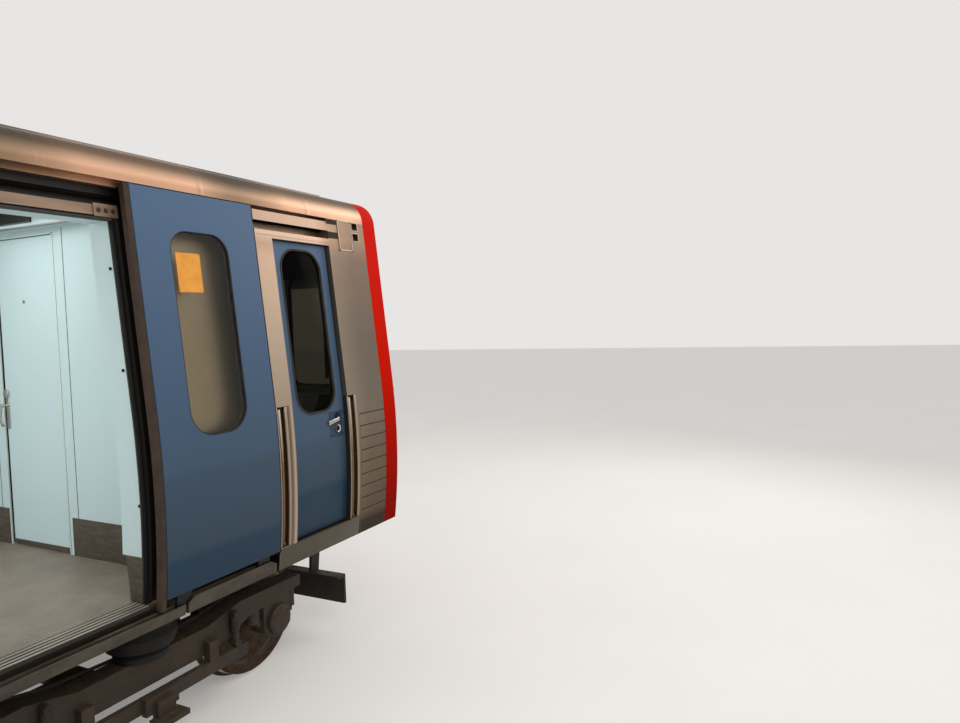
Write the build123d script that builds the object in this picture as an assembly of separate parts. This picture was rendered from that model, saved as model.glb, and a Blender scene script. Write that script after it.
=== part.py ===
# Metro car with a cab at its +X end. Millimetres, +X towards the cab, +Y left, +Z up.
# The origin is below the middle of the car, level with the lowest point of the wheel flanges.
# The saloon sides are set back behind outside door leaves, which hang from rails under the roof's lip
# and are guided by a beam below. Ahead of and behind the leaves the sides stand out to the full width.

from build123d import *
import os
from math import cos, radians, sin, sqrt, tan

os.makedirs("parts", exist_ok=True)

# Heights. Rises are measured from the door leaf's bottom edge.
wheel_radius = 420
flange_depth = 28
leaf_low = 1048
floor_drop = 12
floor_thick = 50
body_low_drop = 130

# Body section, on the outer surface: one side arc, a straight leaning line, a corner arc, the roof arc
half_width = 1395
side_radius = 5000
widest_rise = 530
lean_angle = 5.8
corner_radius = 200
roof_edge_slope = 16.5

# Body length
body_front = 7725
body_rear = -7775
surround_depth = 184
cab_side_length = 1202
rear_side_length = 966

# Walls, as insets from the outer surface
saloon_outer = 105
saloon_inner = 170
cab_wall = 130
roof_thick = 110

# Doorways and what is stacked over their heads
doorway_count = 3
doorway_pitch = 4750
first_doorway = 4515
doorway_half = 875
doorway_height = 2060
header_height = 165
shelf_drop = 28
lip_drop = 17
shelf_thick = 40
shelf_outer = 60
lining_jamb = 12
lining_outer = 107
lining_inner = 275

# Outside leaves
leaf_overlap = 38
leaf_thick = 45
leaf_top_gap = 6
nose_width = 35
nose_inset = 4
nose_drop = 58
closed_gap = 3
leaf_past_jamb = 25
leaf_window_edge = 212
leaf_window_width = 430
leaf_window_low = 847
leaf_window_high = 2026
leaf_window_top_radius = 125
leaf_window_low_radius = 160

# Saloon windows
window_width = 1500
window_low = 850
window_high = 1900
window_radius = 130
pane_inset = 112
pane_thick = 8

# Cab side door, placed by distances behind the front
cab_door_rear = 1232
cab_door_front = 638
cab_door_low = 12
cab_door_high = 2050
cab_door_gap = 8
cab_door_inset = 40
cab_door_thick = 50
cab_window_width = 448
cab_window_low = 845
cab_window_high = 1995
cab_window_radius = 155
hinge_tilt = 2
hinge_line_inset = 135

# Bulkhead between cab and saloon, and the rear end wall
bulkhead_behind = 1914
bulkhead_thick = 50
bulkhead_door_right = -45
bulkhead_door_left = 590
bulkhead_door_high = 2110
end_wall_thick = 90
end_door_half = 330
end_door_high = 2000
inner_door_thick = 40
inner_door_gap = 6

# Bogies
bogie_pitch_half = 5550
wheelbase_half = 1050
axle_radius = 80
journal_radius = 65
journal_gap = 0.5
wheel_back_y = 680
wheel_face_y = 815
beam_y = 1000
beam_width = 140
beam_top = 640
transom_x = 250
pivot_radius = 60

# Couplers
coupler_rise = 720
coupler_face = 7965
cone_length = 60
coupler_pivot = 7200
coupler_pin = 25

# Heights and places worked out from the sizes above
leaf_width = doorway_half - nose_width + leaf_overlap
leaf_travel = doorway_half + leaf_past_jamb
axle_z = flange_depth + wheel_radius
floor_top = leaf_low - floor_drop
floor_under = floor_top - floor_thick
body_low = leaf_low - body_low_drop
doorway_top = leaf_low + doorway_height
shelf_low = doorway_top + header_height
shelf_top = shelf_low + shelf_thick
lip_low = shelf_low + shelf_drop
leaf_high = lip_low - leaf_top_gap
lean = radians(lean_angle)
edge_turn = radians(90 - roof_edge_slope)
side_centre_y = half_width - side_radius
side_centre_z = leaf_low + widest_rise
lean_start_y = side_centre_y + side_radius * cos(lean)
lean_start_z = side_centre_z + side_radius * sin(lean)
corner_z = lip_low + lip_drop
corner_y = lean_start_y - (corner_z - lean_start_z) * tan(lean)
corner_centre_y = corner_y - corner_radius * cos(lean)
corner_centre_z = corner_z - corner_radius * sin(lean)
roof_centre_z = corner_centre_z - corner_centre_y * tan(edge_turn)
roof_radius = corner_radius + corner_centre_y / cos(edge_turn)
crown_z = roof_centre_z + roof_radius
cab_front = body_front - surround_depth
saloon_front = cab_front - cab_side_length
saloon_rear = body_rear + rear_side_length
doorways = [first_doorway - n * doorway_pitch for n in range(doorway_count)]
window_places = [(a + b) / 2 for a, b in zip(doorways, doorways[1:])]
bulkhead_x = body_front - bulkhead_behind
wide = half_width + 100
tall = crown_z + 100


def contour_y(inset, z):
    """Half width of the body section, moved inward by inset, at height z."""
    radius = side_radius - inset
    start_z = side_centre_z + radius * sin(lean)
    if z <= start_z:
        return side_centre_y + sqrt(radius**2 - (z - side_centre_z) ** 2)
    return side_centre_y + radius * cos(lean) - (z - start_z) * tan(lean)


def roof_z(inset, y):
    """Height of the roof arc, moved inward by inset, at y."""
    return roof_centre_z + sqrt((roof_radius - inset) ** 2 - y**2)


def side_edges(inset, z_low, z_high, x):
    """Left line of the section between two heights: the side arc, then the leaning line."""
    start_z = side_centre_z + (side_radius - inset) * sin(lean)
    edges = []
    if z_low < start_z:
        top_z = min(z_high, start_z)
        heights = (z_low, (z_low + top_z) / 2, top_z)
        edges.append(ThreePointArc(*[(x, contour_y(inset, z), z) for z in heights]))
    if z_high > start_z:
        low_z = max(z_low, start_z)
        edges.append(Line((x, contour_y(inset, low_z), low_z), (x, contour_y(inset, z_high), z_high)))
    return edges


def side_band(outer, inner, z_low, z_high, x_low, x_high):
    """Piece of the left side between two insets, two heights and two places along X."""
    edges = side_edges(outer, z_low, z_high, x_low) + side_edges(inner, z_low, z_high, x_low)
    for z in (z_low, z_high):
        edges.append(Line((x_low, contour_y(outer, z), z), (x_low, contour_y(inner, z), z)))
    return extrude(make_face(edges), x_high - x_low, dir=(1, 0, 0))


def rise_band(outer, inner, low_rise, high_rise, x_low, x_high):
    return side_band(outer, inner, leaf_low + low_rise, leaf_low + high_rise, x_low, x_high)


def section_block(inset, z_low, x_low, x_high):
    """Solid body section inside an inset, above z_low."""
    radius = corner_radius - inset
    turns = (lean, (lean + edge_turn) / 2, edge_turn)
    corner = [(x_low, corner_centre_y + radius * cos(t), corner_centre_z + radius * sin(t)) for t in turns]
    half = side_edges(inset, z_low, corner_centre_z + radius * sin(lean), x_low)
    half.append(ThreePointArc(*corner))
    edges = half + [edge.mirror(Plane.XZ) for edge in half]
    x, end_y, end_z = corner[-1]
    edges.append(ThreePointArc((x, end_y, end_z), (x, 0, crown_z - inset), (x, -end_y, end_z)))
    low_y = contour_y(inset, z_low)
    edges.append(Line((x, -low_y, z_low), (x, low_y, z_low)))
    return extrude(make_face(edges), x_high - x_low, dir=(1, 0, 0))


def block(x, y, z):
    """Box between pairs of x, y and z."""
    (x0, x1), (y0, y1), (z0, z1) = sorted(x), sorted(y), sorted(z)
    return Pos((x0 + x1) / 2, (y0 + y1) / 2, (z0 + z1) / 2) * Box(x1 - x0, y1 - y0, z1 - z0)


def rod_x(radius, x0, x1, y, z):
    return Pos((x0 + x1) / 2, y, z) * Rot(0, 90, 0) * Cylinder(radius, abs(x1 - x0))


def rod_y(radius, y0, y1, x, z):
    return Pos(x, (y0 + y1) / 2, z) * Rot(90, 0, 0) * Cylinder(radius, abs(y1 - y0))


def rod_z(radius, z0, z1, x, y):
    return Pos(x, y, (z0 + z1) / 2) * Cylinder(radius, abs(z1 - z0))


def side_profile(points, y_low, y_high):
    """Extrusion along Y of an outline drawn in X and Z."""
    face = make_face(Polyline(*[(x, y_low, z) for x, z in points], close=True))
    return extrude(face, y_high - y_low, dir=(0, 1, 0))


def side_cutter(width, x, low_rise, high_rise, top_radius, low_radius):
    """Upright cutter with rounded corners through a left side."""
    height = high_rise - low_rise
    face = Rectangle(width, height)
    face = fillet([v for v in face.vertices() if v.Y > 0], top_radius)
    face = fillet([v for v in face.vertices() if v.Y < 1 - height / 2], low_radius)
    plane = Plane(origin=(x, 0, leaf_low + (low_rise + high_rise) / 2), x_dir=(1, 0, 0), z_dir=(0, -1, 0))
    return extrude(plane * face, wide, dir=(0, 1, 0))


def end_cutter(width, y, low_rise, high_rise, radius, x_low, x_high):
    """Cutter along X with rounded corners, for windows in the ends and the bulkhead."""
    place = Pos(x_low, y, leaf_low + (low_rise + high_rise) / 2) * Rot(0, 90, 0)
    return place * extrude(RectangleRounded(high_rise - low_rise, width, radius), x_high - x_low)


def both_sides(pieces):
    pieces = pieces if isinstance(pieces, list) else [pieces]
    return pieces + [mirror(piece, Plane.XZ) for piece in pieces]


def fused(pieces):
    return pieces[0].fuse(*pieces[1:])


def save(node, *pieces):
    solids = [solid for piece in pieces for solid in piece.solids()]
    shape = solids[0] if len(solids) == 1 else Compound(children=solids)
    shape.label = node
    export_step(shape, f"parts/{node}.step")


# Hinges

knuckle_radius = 11
knuckle_height = 44
hinge_pin = 5
hinge_bore = 5.4


def hinge_halves(fixed_arm, moving_arm):
    """Hinge on a local Z axis: the fixed half with its pin above, the half that turns below.

    An arm is the pairs of x and y of the block that ties a knuckle to its panel.
    """
    fixed = rod_z(knuckle_radius, 1, knuckle_height, 0, 0) + block(*fixed_arm, (1, knuckle_height))
    fixed += rod_z(hinge_pin, -knuckle_height - 5, knuckle_height, 0, 0)
    moving = rod_z(knuckle_radius, -knuckle_height, -1, 0, 0) + block(*moving_arm, (-knuckle_height, -1))
    moving -= rod_z(hinge_bore, -knuckle_height - 1, 0, 0, 0)
    return fixed, moving


cab_hinge_rises = (300, 1050, 1800)
cab_hinge_x = body_front - cab_door_rear + cab_door_gap
cab_hinge_top_z = leaf_low + cab_door_high - cab_door_gap
cab_hinge_top_y = contour_y(hinge_line_inset, cab_hinge_top_z)
hinge_leaf = 26


def cab_hinges():
    """Goose-neck hinges between a cab side and its door, on a line that leans in as it rises."""
    fixed, moving = [], []
    for rise in cab_hinge_rises:
        z = leaf_low + rise
        y = cab_hinge_top_y + (cab_hinge_top_z - z) * tan(radians(hinge_tilt))
        to_wall = contour_y(cab_wall, z) - y + 4
        to_door = contour_y(cab_door_inset + cab_door_thick, z) - y + 4
        wall_plate = ((-40, -knuckle_radius), (-knuckle_radius, to_wall))
        halves = hinge_halves(wall_plate, ((0, hinge_leaf), (0, to_door)))
        neck = block((-40, 0), (-knuckle_radius, knuckle_radius), (1, knuckle_height))
        turn = Pos(cab_hinge_x, y, z) * Rot(hinge_tilt, 0, 0)
        fixed.append(turn * (halves[0] + neck))
        moving.append(turn * halves[1])
    return fixed, moving


inner_hinge_rises = (300, 1000, 1750)
hinge_stand = 14


def upright_hinges(x, y, leaf_x):
    """Halves up one upright axis: the fixed plate reaches the wall, the moving plate reaches leaf_x."""
    side = 1 if leaf_x > x else -1
    fixed, moving = [], []
    for rise in inner_hinge_rises:
        halves = hinge_halves(((0, side * hinge_stand), (-40, 0)), ((0, leaf_x - x), (0, 40)))
        fixed.append(Pos(x, y, leaf_low + rise) * halves[0])
        moving.append(Pos(x, y, leaf_low + rise) * halves[1])
    return fixed, moving


# Saloon walls: one panel each side with its doorways and windows, and the panes


def saloon_wall():
    wall = side_band(saloon_outer, saloon_inner, body_low, shelf_low, saloon_rear, saloon_front)
    half = doorway_half + lining_jamb
    for x in doorways:
        wall -= block((x - half, x + half), (0, wide), (floor_top - threshold_thick, doorway_top))
    for x in window_places:
        wall -= side_cutter(window_width, x, window_low, window_high, window_radius, window_radius)
    return wall


def side_pane(x):
    sheet = rise_band(pane_inset, pane_inset + pane_thick, window_low - 50, window_high + 50,
                      x - window_width / 2 - 50, x + window_width / 2 + 50)
    return sheet & side_cutter(window_width, x, window_low, window_high, window_radius, window_radius)


# Doorway linings: jambs and head from the wall's outer face to its inner trim line

post_width = 45
post_foot = [
    # distance from the middle of the car, height over the floor, of the post's inner edge
    (1181, 0),
    (1141, 256),
    (900, 256),
    (900, 0),
]


def doorway_lining(x):
    post_half = doorway_half + lining_jamb + post_width
    frame = side_band(lining_outer, lining_inner, floor_top, doorway_top,
                      x - doorway_half - lining_jamb, x + doorway_half + lining_jamb)
    frame += side_band(saloon_inner, lining_inner, floor_top, doorway_top + post_width,
                       x - post_half, x + post_half)
    foot = make_face(Polyline(*[(x - post_half, y, floor_top + z) for y, z in post_foot], close=True))
    frame -= extrude(foot, 2 * post_half, dir=(1, 0, 0))
    return frame - side_band(0, lining_inner + 50, floor_top - 1, doorway_top - lining_jamb,
                             x - doorway_half, x + doorway_half)


# Thresholds with three anti-slip grooves

threshold_outer = 50
threshold_inner = 182
threshold_thick = 18
threshold_grooves = 3
threshold_groove_pitch = 32
threshold_groove_width = 8


def threshold(x):
    half = doorway_half - 2
    y_low, y_high = contour_y(threshold_inner, floor_top), contour_y(threshold_outer, floor_top)
    plate = block((x - half, x + half), (y_low, y_high), (floor_top - threshold_thick, floor_top))
    for n in range(threshold_grooves):
        y = (y_low + y_high) / 2 + (n - (threshold_grooves - 1) / 2) * threshold_groove_pitch
        plate -= block((x - half, x + half), (y, y + threshold_groove_width), (floor_top - 4, floor_top + 1))
    return plate


def floor():
    low_y, high_y = contour_y(saloon_inner, floor_under), contour_y(saloon_inner, floor_top)
    rear = body_rear + end_wall_thick
    outline = Polyline((rear, -low_y, floor_under), (rear, low_y, floor_under), (rear, high_y, floor_top),
                       (rear, -high_y, floor_top), close=True)
    slab = extrude(make_face(outline), cab_front - rear, dir=(1, 0, 0))
    half = doorway_half + lining_jamb
    for x in doorways:
        pocket = block((x - half, x + half), (contour_y(threshold_inner, floor_top), wide),
                       (floor_top - threshold_thick, floor_top + 1))
        for cut in both_sides(pocket):
            slab -= cut
    return slab


# Guide beam below the leaves, in segments, with the groove that takes the leaves' shoes

beam_high_drop = 70
beam_inner = 60
groove_outer = 7
groove_inner = 38
groove_floor_drop = 95
web_thick = 20
segment_past_doorway = 201
segment_gap = 20
segment_end_gap = 25
segment_step = 26
segment_slope = 50


def guide_beams():
    joints = sorted(x + side * (doorway_half + segment_past_doorway) for x in doorways for side in (-1, 1))
    starts = [saloon_rear + segment_end_gap] + joints
    ends = joints + [saloon_front - segment_end_gap]
    beams = []
    for n, (start, end) in enumerate(zip(starts, ends)):
        x_low, x_high = start + segment_gap / 2, end - segment_gap / 2
        z = leaf_low - beam_high_drop
        beam = side_band(0, beam_inner, body_low, z, x_low, x_high)
        if n % 2 == 0:
            raised = side_band(0, beam_inner, body_low, z + segment_step, x_low, x_high)
            corners = [(x_low, body_low - 1), (x_low, z), (x_low + segment_slope, z + segment_step),
                       (x_high - segment_slope, z + segment_step), (x_high, z), (x_high, body_low - 1)]
            beam += raised & side_profile(corners, 0, wide)
        beam += side_band(beam_inner, saloon_outer, body_low, body_low + web_thick, x_low, x_high)
        beam -= rise_band(groove_outer, groove_inner, -groove_floor_drop, 0, x_low, x_high)
        beams.append(beam)
    return beams


# Hanger rail, door header bars and their end brackets

rail_inset = 66
rail_over_doorway = 95
rail_height = 20
header_inset = 85
header_low = 8
header_high = 62
bracket_inset = 78
bracket_back = 103
bracket_length = 139
rail_past_saloon = 745


def door_gear():
    gear = [side_band(rail_inset, saloon_outer, doorway_top + rail_over_doorway,
                      doorway_top + rail_over_doorway + rail_height,
                      saloon_rear - rail_past_saloon, saloon_front + rail_past_saloon)]
    for x in doorways:
        bar = side_band(header_inset, saloon_outer, doorway_top + header_low, doorway_top + header_high,
                        x - doorway_half, x + doorway_half)
        for side in (-1, 1):
            start = doorway_half - bracket_back
            ends = sorted((x + side * start, x + side * (start + bracket_length)))
            bar += side_band(bracket_inset, saloon_outer, doorway_top + header_low - 6,
                             doorway_top + header_high + 8, *ends)
        gear.append(bar)
    return gear


# Cab and rear sides: full width, with the pocket for the hangers behind two long slots

pocket_inset = 105
skin_thick = 14
pocket_over_doorway = 40
low_slot_high = 101
top_slot_low = 167
pocket_length = 754
groove_line_depth = 3


def full_side(x_low, x_high, pocket_x):
    """Full-width side between two places, with the hanger pocket cut between pocket_x."""
    side = side_band(0, cab_wall, body_low, lip_low, x_low, x_high)
    pocket_low = doorway_top + pocket_over_doorway
    side -= side_band(skin_thick, pocket_inset, pocket_low, lip_low, *pocket_x)
    side -= side_band(-5, skin_thick, pocket_low, doorway_top + low_slot_high, *pocket_x)
    side -= side_band(-5, skin_thick, doorway_top + top_slot_low, lip_low, *pocket_x)
    line_z = pocket_low - 30
    return side - side_band(-5, groove_line_depth, line_z - 5, line_z, *pocket_x)


pillar_length = 60
recess_depth = 60
recess_low = 20
recess_high = 940
recess_places = [(1385, 1290), (637, 541)]
groove_count = 10
groove_pitch = 92
groove_height = 8
groove_depth = 4
groove_rear_behind = 511
groove_top_rise = 785
cover_behind = (510, 359)
cover_rise = (2032, 2248)
cover_proud = 3
vent_behind = (327, 266)
vent_rises = ((2117, 2163), (2205, 2249))
vent_depth = 40


def cab_side():
    side = full_side(saloon_front, cab_front, (saloon_front, saloon_front + pocket_length))
    side -= block((body_front - cab_door_rear, body_front - cab_door_front), (0, wide),
                  (leaf_low + cab_door_low, leaf_low + cab_door_high))
    for rear, front in recess_places:
        side -= rise_band(-5, recess_depth, recess_low, recess_high, body_front - rear, body_front - front)
    for n in range(groove_count):
        rise = groove_top_rise - n * groove_pitch
        side -= rise_band(-5, groove_depth, rise, rise + groove_height,
                          body_front - groove_rear_behind, cab_front)
    side += rise_band(-cover_proud, 1, *cover_rise,
                      body_front - cover_behind[0], body_front - cover_behind[1])
    for low, high in vent_rises:
        side -= rise_band(-5, vent_depth, low, high, body_front - vent_behind[0], body_front - vent_behind[1])
    pillar = side_band(cab_wall, saloon_inner, body_low, lip_low, saloon_front, saloon_front + pillar_length)
    return fused([side, pillar] + cab_hinges()[0])


# Vertical grab rails in their recesses beside the cab doors

grab_radius = 14
grab_inset = 30


def side_grab_rails():
    rails = []
    for rear, front in recess_places:
        x = body_front - (rear + front) / 2
        z_low, z_high = leaf_low + recess_low - 5, leaf_low + recess_high + 5
        heights = (z_low, (z_low + z_high) / 2, z_high)
        path = ThreePointArc(*[(x, contour_y(grab_inset, z), z) for z in heights])
        rail = sweep(Plane(origin=path @ 0, z_dir=path % 0) * Circle(grab_radius), path)
        rails.append(rail & block((x - 50, x + 50), (0, wide), (z_low + 5, z_high - 5)))
    return rails


# Roof shell with its cant shelves and gutters

gutter_y = 1062
gutter_width = 10
gutter_height = 5
gutter_front_behind = 480


def roof():
    shell = section_block(0, lip_low, body_rear, cab_front)
    shell -= section_block(roof_thick, lip_low, body_rear - 1, cab_front + 1)
    shelf = side_band(shelf_outer, saloon_inner, shelf_low, shelf_top, saloon_rear, saloon_front)
    z = roof_z(0, gutter_y)
    gutter = block((body_rear + 30, body_front - gutter_front_behind), (gutter_y, gutter_y + gutter_width),
                   (z - 10, z + gutter_height))
    return fused([shell] + both_sides([shelf, gutter]))


vent_table = [
    # place along the car, length, width, height over the crown
    (-6100, 900, 860, 34),
    (-3600, 1300, 860, 34),
    (-1200, 1300, 860, 34),
    (1200, 1300, 860, 34),
    (3600, 1300, 860, 34),
    (5900, 900, 860, 34),
]


def roof_vents():
    vents = []
    for x, length, width, height in vent_table:
        vent = block((x - length / 2, x + length / 2), (-width / 2, width / 2),
                     (crown_z - 80, crown_z + height))
        vent = chamfer([e for e in vent.edges() if e.center().Z > crown_z - 1], 15)
        for n in range(5):
            slot_x = x + (n - 2) * length / 6
            vent -= block((slot_x - 12, slot_x + 12), (-width / 2 + 90, width / 2 - 90),
                          (crown_z + height - 12, crown_z + height + 1))
        vents.append(vent - section_block(0, leaf_low, x - length, x + length))
    return vents


# Ceiling panel and its two rows of lamps

ceiling_thick = 12
ceiling_flat_half = 620
ceiling_drop = 250
lamp_y = 430
lamp_half_width = 75
lamp_depth = 28
lamp_length = 2100
lamp_gap = 180


def ceiling(thick):
    rear, front = body_rear + end_wall_thick, bulkhead_x - bulkhead_thick / 2
    edge_y, edge_z = contour_y(saloon_inner, shelf_top), shelf_top
    flat_z = crown_z - ceiling_drop
    low = [(edge_y, edge_z), (ceiling_flat_half, flat_z), (-ceiling_flat_half, flat_z), (-edge_y, edge_z)]
    high = [(y, z + thick) for y, z in reversed(low)]
    outline = Polyline(*[(rear, y, z) for y, z in low + high], close=True)
    return extrude(make_face(outline), front - rear, dir=(1, 0, 0))


def ceiling_panels():
    whole = ceiling(ceiling_thick)
    strips = ((-wide, -ceiling_flat_half), (-ceiling_flat_half, ceiling_flat_half), (ceiling_flat_half, wide))
    return [whole & block((body_rear, body_front), strip, (floor_top, tall)) for strip in strips]


def ceiling_lamps():
    top = crown_z - ceiling_drop
    step = lamp_length + lamp_gap
    lamps = []
    for n in range(5):
        x = -800 + (n - 2) * step
        body = block((x - lamp_length / 2, x + lamp_length / 2),
                     (lamp_y - lamp_half_width, lamp_y + lamp_half_width),
                     (top - lamp_depth, top))
        low_edges = [e for e in body.edges() if e.center().Z < top - lamp_depth + 1]
        lamps.append(chamfer(low_edges, 14))
    return both_sides(lamps)


# Rear end: end wall, side returns, and the communication doorway

end_window_half = 260
end_window_y = 760
end_window_low = 1000
end_window_high = 1700
end_window_radius = 80


def rear_end():
    side = full_side(body_rear, saloon_rear, (saloon_rear - pocket_length, saloon_rear))
    pillar = side_band(cab_wall, saloon_inner, body_low, lip_low, saloon_rear - pillar_length, saloon_rear)
    wall = section_block(cab_wall, body_low, body_rear, body_rear + end_wall_thick)
    wall &= block((body_rear, body_rear + end_wall_thick), (-wide, wide), (body_low, lip_low))
    wall -= block((body_rear, body_rear + end_wall_thick), (-end_door_half, end_door_half),
                  (floor_top, leaf_low + end_door_high))
    for side_y in (-end_window_y, end_window_y):
        wall -= end_cutter(2 * end_window_half, side_y, end_window_low, end_window_high, end_window_radius,
                           body_rear, body_rear + end_wall_thick)
    hinge_x = body_rear + end_wall_thick + hinge_stand
    fixed = upright_hinges(hinge_x, inner_door_gap / 2 - end_door_half, body_rear + end_door_inner)[0]
    return fused([wall] + both_sides([side, pillar]) + fixed)


end_door_inner = 70
end_pane_place = 40
end_door_window_half = 200
end_door_window = (1050, 1800)


def rear_door():
    x_high = body_rear + end_door_inner
    door = block((x_high - inner_door_thick, x_high),
                 (-end_door_half + inner_door_gap, end_door_half - inner_door_gap),
                 (floor_top + 10, leaf_low + end_door_high - inner_door_gap))
    door -= end_cutter(2 * end_door_window_half, 0, *end_door_window, end_window_radius,
                       x_high - 50, x_high + 10)
    hinge_x = body_rear + end_wall_thick + hinge_stand
    moving = upright_hinges(hinge_x, inner_door_gap / 2 - end_door_half, x_high)[1]
    return fused([door] + moving)


def end_panes():
    return [end_cutter(2 * end_window_half, side_y, end_window_low, end_window_high, end_window_radius,
                       body_rear + end_pane_place, body_rear + end_pane_place + pane_thick)
            for side_y in (-end_window_y, end_window_y)]


# Front: outer surround, bowed panel, windscreen and lamps

surround_round = 30
panel_thick = 60
panel_bow = 65
panel_front_gap = 5
screen_table = [
    # place across, half width
    (-655, 325),
    (0, 250),
    (655, 325),
]
screen_low = 950
screen_high = 1880
screen_radius = 100
front_door_half = 310
front_door_rise = (70, 2020)
front_door_joint = 7
screen_inset = 20
screen_thick = 10
panel_half = contour_y(cab_wall, side_centre_z)
bow_radius = (panel_half**2 + panel_bow**2) / (2 * panel_bow)
bow_centre_x = body_front - panel_front_gap - bow_radius


def bowed_band(outer, inner):
    """Upright band that follows the front panel's bow, between two depths behind its face."""
    band = rod_z(bow_radius - outer, floor_top, tall, bow_centre_x, 0)
    band -= rod_z(bow_radius - inner, floor_top, tall, bow_centre_x, 0)
    return band & block((cab_front - 100, body_front), (-wide, wide), (floor_top, tall))


def front_surround():
    ring = section_block(0, body_low, cab_front, body_front)
    edges = [e for e in ring.edges() if e.center().X > body_front - 1 and e.center().Z > body_low + 1]
    ring = fillet(edges, surround_round)
    return ring - section_block(cab_wall, floor_top, cab_front, body_front)


lamp_table = [
    # distance from the middle, rise, radius
    (900, 560, 92),
    (690, 560, 70),
]
lamp_seat_depth = 30


def front_cutter(y, half, low, high):
    return end_cutter(2 * half, y, low, high, screen_radius, cab_front - 200, body_front + 200)


def screen_openings():
    return [front_cutter(y, half, screen_low, screen_high) for y, half in screen_table]


def front_door_line():
    """Joint around the emergency door in the middle of the front panel."""
    low, high = front_door_rise
    joint = front_door_joint
    line = front_cutter(0, front_door_half + joint, low - joint, high + joint)
    line -= front_cutter(0, front_door_half, low, high)
    return line & bowed_band(-50, 4)


def lamp_rods(x_low, x_high, gap):
    return [rod_x(radius - gap, x_low, x_high, side * y, leaf_low + rise)
            for y, rise, radius in lamp_table for side in (-1, 1)]


def front_panel():
    panel = bowed_band(0, panel_thick) & section_block(cab_wall, floor_top, cab_front - 100, body_front)
    for opening in screen_openings():
        panel -= opening
    panel -= front_door_line()
    seat = bowed_band(-50, lamp_seat_depth)
    for rod in lamp_rods(cab_front, body_front + 50, 0):
        panel -= rod & seat
    return panel


def front_lamps():
    lens = bowed_band(-4, lamp_seat_depth)
    return [rod & lens for rod in lamp_rods(cab_front, body_front + 50, 1)]


# Bulkhead with its doorway, and the header box over it on the saloon side

header_box_depth = 106
header_box_rise = 2149
header_box_gap = 2


def bulkhead():
    x0, x1 = bulkhead_x - bulkhead_thick / 2, bulkhead_x + bulkhead_thick / 2
    low_part = section_block(saloon_inner, floor_top, x0, x1)
    low_part &= block((x0, x1), (-wide, wide), (floor_top, shelf_top))
    high_part = section_block(roof_thick, floor_top, x0, x1)
    high_part &= block((x0, x1), (-wide, wide), (shelf_top, tall))
    doorway = block((x0, x1), (bulkhead_door_right, bulkhead_door_left),
                    (floor_top, leaf_low + bulkhead_door_high))
    return low_part + high_part - doorway


def header_box():
    """Prism under the ceiling, a little clear of the walls and of the ceiling itself."""
    x1 = bulkhead_x - bulkhead_thick / 2
    low_z, flat_z = leaf_low + header_box_rise, crown_z - ceiling_drop - header_box_gap
    half = [(contour_y(saloon_inner, z) - header_box_gap, z) for z in (low_z, shelf_top - header_box_gap)]
    half.append((ceiling_flat_half, flat_z))
    outline = half + [(-y, z) for y, z in reversed(half)]
    face = make_face(Polyline(*[(x1 - header_box_depth, y, z) for y, z in outline], close=True))
    return extrude(face, header_box_depth, dir=(1, 0, 0))


bulkhead_hinge_x = bulkhead_x + bulkhead_thick / 2 + hinge_stand
bulkhead_hinge_y = bulkhead_door_right + inner_door_gap / 2
bulkhead_leaf_x = bulkhead_x - inner_door_thick / 2
bulkhead_fixed, bulkhead_moving = upright_hinges(bulkhead_hinge_x, bulkhead_hinge_y,
                                                 bulkhead_leaf_x + inner_door_thick)


def bulkhead_door():
    door = block((bulkhead_leaf_x, bulkhead_leaf_x + inner_door_thick),
                 (bulkhead_door_right + inner_door_gap, bulkhead_door_left - inner_door_gap),
                 (floor_top + 10, leaf_low + bulkhead_door_high - inner_door_gap))
    return fused([door] + bulkhead_moving)


# Cab desk and driver's seat

desk_front_x = 7120
desk_half = 900
desk_height = 860
seat_x = 6830
seat_height = 470


def cab_desk():
    points = [(desk_front_x, 0), (desk_front_x + 90, 620), (desk_front_x + 20, 700), (desk_front_x + 30, 760),
              (desk_front_x + 170, 800), (desk_front_x + 230, desk_height + 60),
              (body_front, desk_height + 40), (body_front, 0)]
    body = side_profile([(x, floor_top + z) for x, z in points], -desk_half, desk_half)
    body -= block((desk_front_x - 10, desk_front_x + 330), (-330, 330), (floor_top, floor_top + 600))
    behind = rod_z(bow_radius - panel_thick, floor_top, tall, bow_centre_x, 0)
    return body & behind


def driver_seat():
    z = floor_top + seat_height
    cushion = block((seat_x - 190, seat_x + 240), (-235, 235), (z - 50, z + 45))
    cushion = fillet(cushion.edges().filter_by(Axis.Z) + cushion.edges().group_by(Axis.Z)[-1], 35)
    back = block((seat_x - 270, seat_x - 180), (-225, 225), (z + 20, z + 640))
    back = fillet(back.edges().filter_by(Axis.X), 60)
    head = block((seat_x - 265, seat_x - 190), (-130, 130), (z + 660, z + 830))
    head = fillet(head.edges().filter_by(Axis.X), 50)
    stem = block((seat_x - 240, seat_x - 220), (-60, 60), (z + 600, z + 700))
    column = rod_z(60, floor_top, z - 40, seat_x, 0)
    foot = rod_z(170, floor_top, floor_top + 25, seat_x, 0)
    arms = both_sides(block((seat_x - 230, seat_x + 120), (240, 285), (z + 190, z + 225)))
    arm_ties = both_sides(block((seat_x - 260, seat_x - 200), (200, 270), (z + 150, z + 220)))
    return fused([cushion, back, head, stem, column, foot] + arms + arm_ties)


# Saloon seats: benches of moulded shells along the walls between the doorways

seats_per_bench = 5
seat_pitch = 510
seat_gap = 24
shell_thick = 26
seat_table = [
    # distance in from the wall trim, height over the floor
    (0, 900),
    (70, 560),
    (110, 440),
    (190, 415),
    (440, 455),
    (480, 430),
]


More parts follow.
